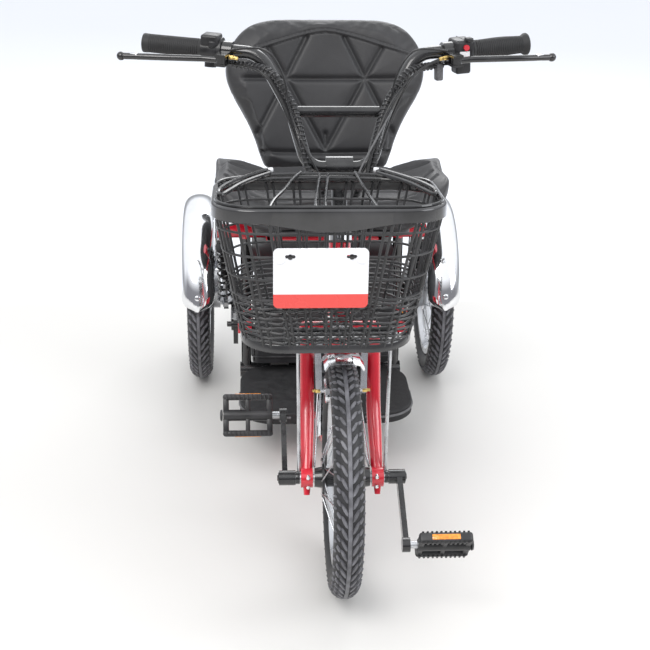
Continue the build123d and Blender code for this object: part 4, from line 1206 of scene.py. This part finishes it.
# --- pedals ------------------------------------------------------------------------------
def pedal_piece(side, turn):
    """Moulded cage with ribbed treads, about its own middle, then put on its spindle."""
    parts = []
    length, width, thick = 76 * MM, 88 * MM, 18 * MM
    for way in (-1, 1):
        parts.append(block((0, way * (length / 2 - 6 * MM), 0), (width, 11 * MM, thick), None,
                           5 * MM, 4))
        for x in (-1, 0, 1):
            wide = 10 * MM if x else 8 * MM
            reach = width / 2 - 5.5 * MM
            parts.append(block((x * reach, way * length / 4.4, 0),
                               (wide, length / 2 - 12 * MM, thick - 4 * MM), None, 2 * MM, 2))
        for face in (-1, 1):
            for step in range(-5, 6):
                parts.append(block((step * 7.4 * MM, way * (length / 2 - 6 * MM),
                                    face * (thick / 2 + 0.3 * MM)),
                                   (3.6 * MM, 9.5 * MM, 2.2 * MM), None, 0.7 * MM, 1))
    barrel = [(-42, 6.2), (-43, 8), (-43, 10), (-41, 10.5), (-30, 10), (30, 10), (41, 10.5),
              (43, 10), (43, 8), (42, 6.2)]
    parts.append(lathe([(a * MM, r * MM) for a, r in barrel], (0, 0, 0), steps=28,
                       closed=True))
    cage = join(parts)
    lenses = []
    for way in (-1, 1):
        lenses.append(block((0, way * (length / 2 - 1.0 * MM), 0), (46 * MM, 2.4 * MM, 9 * MM),
                            None, 0.8 * MM, 2))
    lens = join(lenses)
    cap = lathe([(side * a * MM, r * MM) for a, r in ((46.5, 0), (49, 0), (49, 6), (48, 9.5),
                                                      (45, 10.5), (44, 0))],
                (0, 0, 0), steps=24, closed=False)
    cage = join([cage, cap])
    low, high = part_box("pedal_left" if side > 0 else "pedal_right")
    centre = (low + high) / 2
    centre.x = side * 159 * MM
    place = Matrix.Translation(centre) @ Matrix.Rotation(radians(turn), 4, "X")
    for piece in (cage, lens):
        piece.matrix_world = place
        settle(piece)
    return cage, lens


class TRICYCLE_OT_pedals(bpy.types.Operator):
    """Ribbed pedals with amber reflectors, and the caps on the crank bosses"""
    bl_idname = "tricycle.pedals"
    bl_label = "Pedals"

    def execute(self, context):
        for name, side, turn in (("left", 1, -52), ("right", -1, 62)):
            cage, lens = pedal_piece(side, turn)
            body = f"pedal_{name}"
            hand_over(cage, f"pedal_cage_{name}", body, "black_moulded",
                      (f"pedal_{name}",))
            hand_over(lens, f"pedal_reflector_{name}", body, "amber")
            outer = side * 107 * MM
            cap = lathe([(side * a * MM, r * MM) for a, r in
                         ((-1, 10), (0.4, 10), (1.6, 8.6), (2.0, 0))],
                        (outer, front_axle.y, front_axle.z), steps=28, closed=False)
            nut = rod((outer + side * 1.0 * MM, front_axle.y, front_axle.z),
                      (outer + side * 3.0 * MM, front_axle.y, front_axle.z), 5.5 * MM, sides=6)
            hand_over(join([cap, nut]), f"crank_cap_{name}", "crankset",
                      "black_gloss")
            sleeve = rod((side * 72 * MM, front_axle.y, front_axle.z),
                         (side * 78.6 * MM, front_axle.y, front_axle.z), 10.8 * MM, sides=28)
            hand_over(sleeve, f"spindle_sleeve_{name}", "crankset",
                      "black_gloss")
        return {"FINISHED"}


# --- footboard -----------------------------------------------------------------------------
class TRICYCLE_OT_footboard(bpy.types.Operator):
    """Grey edge strips on the footboard"""
    bl_idname = "tricycle.footboard"
    bl_label = "Footboard"

    def execute(self, context):
        low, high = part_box("footboard")
        trims = []
        for side in (-1, 1):
            rim = rounded_ring(high.x, (high.y - low.y) / 2, 70 * MM, 20, 16, -0.2 * MM)
            centre_y = (low.y + high.y) / 2
            run = [Vector((x, y + centre_y, high.z - 9 * MM)) for x, y in rim]
            run = [p for p in run if p.x * side > 64 * MM and p.y < low.y + 120 * MM]
            run.sort(key=lambda p: atan2(p.y - (low.y + 80 * MM), abs(p.x) - 40 * MM))
            trims.append(wires([run], 2.6 * MM, sides=2))
        hand_over(join(trims), "footboard_trim", "frame", "grey_trim")
        return {"FINISHED"}


# --- seat -----------------------------------------------------------------------------------
back_foot = mm(16, 436.5, 458)
back_lean = radians(17)
back_up = Vector((0, sin(back_lean), cos(back_lean)))
back_front = Vector((0, -cos(back_lean), sin(back_lean)))
back_curve = 900 * MM
back_thick = 58 * MM


def on_back(u, v, deep):
    """Point of the seat back: across, up and behind its front face."""
    a = u / back_curve
    radius = back_curve + deep
    return (back_foot + Vector((radius * sin(a), 0, 0)) + back_up * v
            + back_front * (back_curve - radius * cos(a)))


def smooth_loop(points, count):
    """Evenly spread points on the smooth closed curve near the given ones."""
    deselect()
    bpy.ops.curve.primitive_bezier_curve_add()
    guide = bpy.context.object
    curve = guide.data
    curve.splines.clear()
    curve.dimensions = "3D"
    curve.resolution_u = 16
    spline = curve.splines.new("NURBS")
    spline.points.add(len(points) - 1)
    for knot, (x, y) in zip(spline.points, points):
        knot.co = (x, y, 0, 1)
    spline.use_cyclic_u = True
    spline.order_u = 3
    line = bpy.data.meshes.new_from_object(guide)
    path = [v.co.copy() for v in line.vertices]
    bpy.data.objects.remove(guide)
    bpy.data.meshes.remove(line)
    path.append(path[0])
    spans = [(b - a).length for a, b in zip(path, path[1:])]
    whole = sum(spans)
    spread = []
    passed = 0.0
    leg = 0
    for step in range(count):
        goal = whole * step / count
        while passed + spans[leg] < goal:
            passed += spans[leg]
            leg += 1
        part = (goal - passed) / spans[leg]
        spread.append(path[leg].lerp(path[leg + 1], part))
    return spread


def pad_blank(points, thick, bevel, voxel):
    """Flat pad: an outline given a thickness, its edges eased, cut into even cells."""
    pad = outline([Vector((p[0], p[1], 0)) for p in points], filled=True)
    edit(pad)
    bpy.ops.mesh.extrude_region_move(TRANSFORM_OT_translate={"value": (0, 0, thick)})
    bpy.ops.mesh.select_all(action="SELECT")
    bpy.ops.mesh.normals_make_consistent(inside=False)
    leave_edit()
    apply_modifier(pad, "BEVEL", width=bevel, segments=4, limit_method="ANGLE",
                   angle_limit=radians(50))
    take(pad)
    pad.data.remesh_voxel_size = voxel
    pad.data.remesh_voxel_adaptivity = 0
    bpy.ops.object.voxel_remesh()
    return pad


def puff(pad, pressure, cap, keep=None):
    """Blows the cover up with cloth, no point moving further than the cap."""
    rest = [v.co.copy() for v in pad.data.vertices]
    take(pad)
    cloth = pad.modifiers.new("Cloth", "CLOTH")
    cloth.settings.use_pressure = True
    cloth.settings.uniform_pressure_force = pressure
    cloth.settings.quality = 5
    cloth.settings.mass = 0.3
    cloth.settings.tension_stiffness = 20
    cloth.settings.compression_stiffness = 20
    cloth.settings.bending_stiffness = 2
    cloth.settings.effector_weights.gravity = 0
    cloth.collision_settings.use_collision = False
    cloth.point_cache.frame_start = 1
    cloth.point_cache.frame_end = 20
    for step in range(1, 21):
        bpy.context.scene.frame_set(step)
    bpy.context.view_layer.update()
    take(pad)
    bpy.ops.object.modifier_apply(modifier=cloth.name)
    bpy.context.scene.frame_set(1)
    for vertex, start in zip(pad.data.vertices, rest):
        move = vertex.co - start
        if move.length > cap:
            vertex.co = start + move * (cap / move.length)
        if keep:
            vertex.co = keep(vertex.co)
    apply_modifier(pad, "SUBSURF", levels=1, render_levels=1)
    return pad


def line_gap(x, y, line):
    """Distance from a point to a run of points."""
    best = 1.0
    for (ax, ay), (bx, by) in zip(line, line[1:]):
        dx, dy = bx - ax, by - ay
        t = ((x - ax) * dx + (y - ay) * dy) / (dx * dx + dy * dy)
        t = min(1.0, max(0.0, t))
        gap = sqrt((x - ax - t * dx) ** 2 + (y - ay - t * dy) ** 2)
        best = min(best, gap)
    return best


def press_lines(pad, lines, flatten, facing, depth, half, bead=None):
    """Presses sewn grooves into the side that faces one way, and raises a piped seam."""
    normals = [v.normal.copy() for v in pad.data.vertices]
    for vertex, normal in zip(pad.data.vertices, normals):
        front = normal.dot(facing(vertex.co))
        if front < 0.15:
            continue
        x, y = flatten(vertex.co)
        gap = min(line_gap(x, y, line) for line in lines)
        sink = depth * exp(-(gap / half) ** 2 * 1.6) + depth * 0.35 * exp(-gap / (half * 2.5))
        lift = 0.0
        if bead:
            near = line_gap(x, y, bead)
            if near < 3.2 * MM:
                lift = 3.0 * MM * sqrt(1 - (near / (3.2 * MM)) ** 2)
                sink *= 0.2
            elif near < 7 * MM:
                sink += 1.6 * MM * (1 - (near - 3.2 * MM) / (3.8 * MM))
        vertex.co += normal * (lift - sink) * min(1.0, (front - 0.15) / 0.35)


class TRICYCLE_OT_seat(bpy.types.Operator):
    """Winged bucket seat: puffed cushion and back with their sewn grooves and piping"""
    bl_idname = "tricycle.seat"
    bl_label = "Seat"

    def execute(self, context):
        settings = context.scene.tricycle_seat
        self.make_back(settings)
        self.make_cushion(settings)
        return {"FINISHED"}

    def make_back(self, settings):
        half = [(132, 4), (152, 40), (168, 90), (192, 144), (220, 198), (227, 246), (212, 300),
                (176, 343), (112, 362), (50, 364)]
        ring = half + [(-x, y) for x, y in reversed(half)]
        loop = smooth_loop([(x * MM * 0.975, 8 * MM + y * MM * 0.985) for x, y in ring], 150)
        pad = pad_blank([(p.x, p.y) for p in loop], back_thick - 16 * MM, 13 * MM,
                        settings.voxel)
        for vertex in pad.data.vertices:
            u, v, deep = vertex.co
            thin = 0.72 + 0.28 * min(1.0, max(0.0, (v - 20 * MM) / (120 * MM)))
            vertex.co = on_back(u, v, 8 * MM + deep * thin)
        edit(pad)
        bpy.ops.mesh.flip_normals()
        leave_edit()
        puff(pad, settings.pressure, 11 * MM)

        def flatten(co):
            out = co - back_foot
            a = atan2(out.x, back_curve - out.dot(back_front))
            return a * back_curve, out.dot(back_up)

        raw = [[(-180, 225), (180, 225)], [(-87, 228), (0, 68)], [(87, 228), (0, 68)],
               [(-87, 228), (-42, 317)], [(87, 228), (42, 317)], [(-87, 228), (-125, 294)],
               [(87, 228), (125, 294)], [(-87, 228), (-152, 104)], [(87, 228), (152, 104)],
               [(0, 104), (0, 72)], [(-150, 64), (0, 62), (150, 64)]]
        lines = [[(x * MM, y * MM) for x, y in line] for line in raw]
        arc = [(-196, 276), (-160, 288), (-124, 299), (-90, 310), (-56, 320), (-20, 328),
               (0, 330), (20, 328), (56, 320), (90, 310), (124, 299), (160, 288), (196, 276)]
        arc = [(x * MM, y * MM) for x, y in arc]
        press_lines(pad, lines, flatten, lambda co: back_front, settings.groove_depth,
                    settings.groove_half, arc)
        hand_over(pad, "seat_back_cover", "frame", "leather", ("seat_back",), 0)
        take(pad)
        bpy.ops.object.shade_smooth()

    def make_cushion(self, settings):
        low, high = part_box("seat_cushion")
        middle_y = (low.y + high.y) / 2
        middle_x = (low.x + high.x) / 2
        half_x = (high.x - low.x) / 2 - 9 * MM
        half_y = (high.y - low.y) / 2 - 8 * MM
        ring = rounded_ring(half_x, half_y, 78 * MM, 12, 8)
        thick = 50 * MM
        pad = pad_blank(ring, thick, 16 * MM, settings.voxel)
        flat = 130 * MM
        for vertex in pad.data.vertices:
            x, y, z = vertex.co
            a = min(1.0, max(0.0, (abs(x) - flat) / (half_x - flat)))
            foot = 60 * MM * a * a
            top = thick + 57 * MM * a ** 1.6
            front_drop = -6 * MM * max(0.0, (-y - half_y + 70 * MM) / (70 * MM)) ** 2
            t = z / thick
            vertex.co = Vector((x + middle_x, y + middle_y,
                                low.z + 7 * MM + foot + (top - foot) * t + front_drop * t))
        floor_z = low.z + 0.6 * MM

        def rest_on(co):
            if abs(co.x - middle_x) < 150 * MM and co.z < floor_z + 3 * MM:
                co.z = floor_z
            co.z = max(co.z, floor_z)
            return co

        puff(pad, settings.pressure, 11 * MM, rest_on)
        raw = [[(-150, -70), (0, 88), (150, -70)], [(-150, 60), (0, -96), (150, 60)],
               [(-205, -30), (-150, -70), (150, -70), (205, -30)],
               [(-205, 30), (-150, 60), (150, 60), (205, 30)]]
        lines = [[(x * MM + middle_x, y * MM + middle_y) for x, y in line] for line in raw]
        bead = [(-218, -52), (-170, -112), (-80, -122), (80, -122), (170, -112), (218, -52)]
        bead = [(x * MM + middle_x, y * MM + middle_y) for x, y in bead]
        press_lines(pad, lines, lambda co: (co.x, co.y), lambda co: Vector((0, 0, 1)),
                    settings.groove_depth, settings.groove_half, bead)
        hand_over(pad, "seat_cushion_cover", "frame", "leather",
                  ("seat_cushion",), 0)
        take(pad)
        bpy.ops.object.shade_smooth()


# --- rear ------------------------------------------------------------------------------------
guard_radius = cad_box[1].y - rear_axle.y
guard_half = 36 * MM
hub_plate_x = 217 * MM
guard_depth = 24 * MM
guard_front, guard_rear = radians(82), radians(-100)


def round_guard():
    """Half-round sheet over the left rear wheel, its two ends rounded off, and its stays."""
    profile = []
    for step in range(-6, 7):
        a = radians(15 * step)
        profile.append((guard_half * sin(a), guard_radius - guard_depth * (1 - cos(a))))
    front_way = (0, -sin(guard_front), cos(guard_front))
    sheet = lathe(profile, rear_axle, steps=90, across=front_way, closed=False,
                  turn=guard_front - guard_rear)
    ease = radians(9)
    for vertex in sheet.data.vertices:
        out = vertex.co - rear_axle
        place = atan2(-out.y, out.z)
        near = min(guard_front - place, (place - guard_rear) % (2 * pi))
        if near < ease:
            narrow = sqrt(max(0.0, 1 - ((ease - near) / ease) ** 2))
            vertex.co.x = rear_axle.x + out.x * (0.25 + 0.75 * narrow)
    apply_modifier(sheet, "SOLIDIFY", thickness=1.6 * MM, offset=-1)
    parts = [sheet]
    for turn in (22, -32, -86):
        way = Vector((0, -sin(radians(turn)), cos(radians(turn))))
        hold = rear_axle + way * (guard_radius - guard_depth * 0.6) - mm(31, 0, 0)
        hub_side = Vector((hub_plate_x, rear_axle.y, rear_axle.z)) + way * 44 * MM
        parts.append(rod(hub_side, hold, 2.8 * MM, sides=12))
    return join(parts)


class TRICYCLE_OT_rear(bpy.types.Operator):
    """Mudguard bolts, side reflectors, red rear reflectors with a painted glow, and the box's lid
    line
    """
    bl_idname = "tricycle.rear"
    bl_label = "Rear"

    def execute(self, context):
        guard = round_guard()
        far_guard = mirrored(guard)
        hand_over(guard, "rear_guard_left", "rear_axle", "chrome",
                  ("rear_mudguard_left",), 40)
        hand_over(far_guard, "rear_guard_right", "rear_axle", "chrome",
                  ("rear_mudguard_right",), 40)
        bolts = []
        for side in (-1, 1):
            for turn in (74, -92):
                a = radians(turn)
                way = Vector((0, -sin(a), cos(a)))
                place = Vector((side * rear_axle.x, rear_axle.y, rear_axle.z)) + way * guard_radius
                bolts.append(rod(place - way * 3 * MM, place + way * 1.6 * MM, 7.0 * MM,
                                 5.6 * MM, sides=24, bevel=1.2 * MM))
        hand_over(join(bolts), "mudguard_bolts", "rear_axle", "chrome")
        lenses = []
        rims = []
        for side in (-1, 1):
            a = radians(-62)
            way = Vector((0, -sin(a), cos(a)))
            place = Vector((side * rear_axle.x, rear_axle.y, rear_axle.z)) + way * (guard_radius - MM)
            rims.append(rod(place, place + way * 5 * MM, 19 * MM, 18 * MM, sides=36))
            lenses.append(rod(place + way * 2 * MM, place + way * 7 * MM, 16 * MM, 14.5 * MM,
                              sides=36, bevel=1.2 * MM))
        hand_over(join(rims), "rear_reflector_rims", "rear_axle",
                  "housing_plastic")
        hand_over(join(lenses), "rear_reflectors", "rear_axle", "red_lens")
        self.side_reflectors()
        self.box_details()
        return {"FINISHED"}

    def side_reflectors(self):
        """Red brackets at the sides of the box, each with a round amber reflector."""
        low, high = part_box("battery_box")
        brackets = []
        lenses = []
        for side in (-1, 1):
            x = side * (high.x + 17 * MM)
            brackets.append(block((x, low.y + 10 * MM, low.z + 92 * MM),
                                  (26 * MM, 5 * MM, 54 * MM), None, 1.6 * MM, 2))
            brackets.append(block((x - side * 13 * MM, low.y + 26 * MM, low.z + 92 * MM),
                                  (6 * MM, 34 * MM, 50 * MM), None, 1.4 * MM, 2))
            start = Vector((x + side * 2 * MM, low.y + 8 * MM, low.z + 106 * MM))
            lenses.append(rod(start, start - Vector((0, 6 * MM, 0)), 9.5 * MM, 8.6 * MM,
                              sides=28, bevel=1 * MM))
        hand_over(join(brackets), "side_brackets", "frame", "red_paint")
        hand_over(join(lenses), "side_reflectors", "frame", "amber")

    def box_details(self):
        low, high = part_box("battery_box")
        middle = Vector(((low.x + high.x) / 2, (low.y + high.y) / 2, 0))
        half = ((high.x - low.x) / 2, (high.y - low.y) / 2)
        rings = []
        for z in (high.z - 34 * MM, low.z + 14 * MM):
            ring = rounded_ring(half[0], half[1], 14 * MM, 2, 2, -0.3 * MM)
            route = [Vector((x + middle.x, y + middle.y, z)) for x, y in ring]
            rings.append(wires([route], 2.2 * MM, cyclic=True))
        for side in (-1, 1):
            rings.append(block((side * 70 * MM, high.y + 2 * MM, high.z - 40 * MM),
                               (22 * MM, 6 * MM, 34 * MM), None, 2 * MM, 3))
        lock = rod((0, high.y - MM, high.z - 52 * MM), (0, high.y + 3 * MM, high.z - 52 * MM),
                   10 * MM, 9 * MM, sides=28)
        hand_over(join(rings), "box_lid_line", "frame", "housing_plastic")
        hand_over(lock, "box_lock", "frame", "steel")


# --- stage -----------------------------------------------------------------------------------
class TRICYCLE_OT_stage(bpy.types.Operator):
    """Pale floor, soft studio light and the camera"""
    bl_idname = "tricycle.stage"
    bl_label = "Stage"

    def execute(self, context):
        scene = context.scene
        deselect()
        bpy.ops.mesh.primitive_plane_add(size=14)
        floor = bpy.context.object
        floor.name = "floor"
        material = shade("floor_pale", (0.66, 0.65, 0.63), 0.6, spread=0.03, patch=1.5,
                         grain=60, bump=0.05)
        band_along(material, (0.66, 0.65, 0.63), (0.80, 0.82, 0.86), 0.84, 0.92)
        floor.data.materials.append(material)
        world = bpy.data.worlds.new("studio")
        world.use_nodes = True
        scene.world = world
        self.sky(world.node_tree)
        for name, place, aim, size, power, tint in (
                ("key", (-1.3, -2.2, 2.9), (0, 0, 0.4), 1.8, 60, (1, 0.98, 0.96)),
                ("fill", (2.4, -1.4, 1.8), (0, 0, 0.5), 1.6, 30, (0.95, 0.97, 1)),
                ("back", (0.4, 2.6, 2.4), (0, 0.3, 0.6), 1.8, 34, (1, 1, 1))):
            light = bpy.data.lights.new(name, "AREA")
            light.shape = "SQUARE"
            light.size = size
            light.energy = power
            light.color = tint
            lamp = bpy.data.objects.new(name, light)
            scene.collection.objects.link(lamp)
            lamp.location = place
            lamp.rotation_euler = (Vector(aim) - Vector(place)).to_track_quat("-Z", "Y").to_euler()
        camera_data = bpy.data.cameras.new("camera")
        camera_data.lens = 74.03
        camera_data.sensor_width = 36
        camera = bpy.data.objects.new("camera", camera_data)
        scene.collection.objects.link(camera)
        pitch, yaw, roll = radians(22.93), radians(3.40), radians(0.88)
        turn = (Matrix.Rotation(-yaw, 4, "Z") @ Matrix.Rotation(pi / 2 - pitch, 4, "X")
                @ Matrix.Rotation(roll, 4, "Z"))
        camera.matrix_world = Matrix.Translation((-0.15074, -2.43135, 1.32440)) @ turn
        scene.camera = camera
        scene.view_settings.view_transform = "Standard"
        return {"FINISHED"}

    def sky(self, tree):
        """White overhead, greyer towards the horizon, so that bright metal has shape."""
        back = tree.nodes["Background"]
        back.inputs["Strength"].default_value = 1.0
        way = axes(tree, tree.nodes.new("ShaderNodeTexCoord").outputs["Generated"])
        ramp = tree.nodes.new("ShaderNodeValToRGB")
        stops = ((0.0, (0.5, 0.5, 0.5)), (0.06, (0.34, 0.35, 0.37)), (0.2, (0.62, 0.64, 0.68)),
                 (0.32, (1.1, 1.12, 1.16)), (1.0, (1.25, 1.27, 1.3)))
        elements = ramp.color_ramp.elements
        while len(elements) < len(stops):
            elements.new(0.5)
        for element, (position, tint) in zip(elements, stops):
            element.position = position
            element.color = (*tint, 1)
        tree.links.new(way["Z"], ramp.inputs["Fac"])
        card = product(tree, ramped(tree, way["Y"], -0.15, -0.5), ramped(tree, way["Z"], 0.5, 0.3))
        sky_colour = mixed(tree, card, ramp.outputs["Color"], (0.26, 0.26, 0.28))
        tree.links.new(sky_colour, back.inputs["Color"])


# --- panel and order ------------------------------------------------------------------------
operators = (TRICYCLE_OT_finishes, TRICYCLE_OT_stage, TRICYCLE_OT_tyres, TRICYCLE_OT_handlebar,
             TRICYCLE_OT_front_brake, TRICYCLE_OT_basket, TRICYCLE_OT_lid, TRICYCLE_OT_plate,
             TRICYCLE_OT_pedals, TRICYCLE_OT_footboard, TRICYCLE_OT_rear, TRICYCLE_OT_seat)
settings_groups = (("tricycle_tyres", TricycleTyreSettings),
                   ("tricycle_basket", TricycleBasketSettings),
                   ("tricycle_seat", TricycleSeatSettings),
                   ("tricycle_colours", TricycleColours))


class TRICYCLE_PT_panel(bpy.types.Panel):
    """Sizes, colours and pieces of the tricycle"""
    bl_idname = "TRICYCLE_PT_panel"
    bl_label = "Adult tricycle"
    bl_space_type = "VIEW_3D"
    bl_region_type = "UI"
    bl_category = "Tricycle"

    def draw(self, context):
        for name, group in settings_groups:
            box = self.layout.box()
            for key in group.__annotations__:
                box.prop(getattr(context.scene, name), key)
        for operator in operators:
            self.layout.operator(operator.bl_idname)


def register():
    for _, group in settings_groups:
        bpy.utils.register_class(group)
    for name, group in settings_groups:
        setattr(bpy.types.Scene, name, bpy.props.PointerProperty(type=group))
    for operator in operators:
        bpy.utils.register_class(operator)
    bpy.utils.register_class(TRICYCLE_PT_panel)


def unregister():
    bpy.utils.unregister_class(TRICYCLE_PT_panel)
    for operator in reversed(operators):
        bpy.utils.unregister_class(operator)
    for name, group in reversed(settings_groups):
        delattr(bpy.types.Scene, name)
        bpy.utils.unregister_class(group)


def main():
    register()
    for operator in operators:
        getattr(bpy.ops.tricycle, operator.bl_idname.split(".")[1])()


if __name__ == "__main__":
    main()
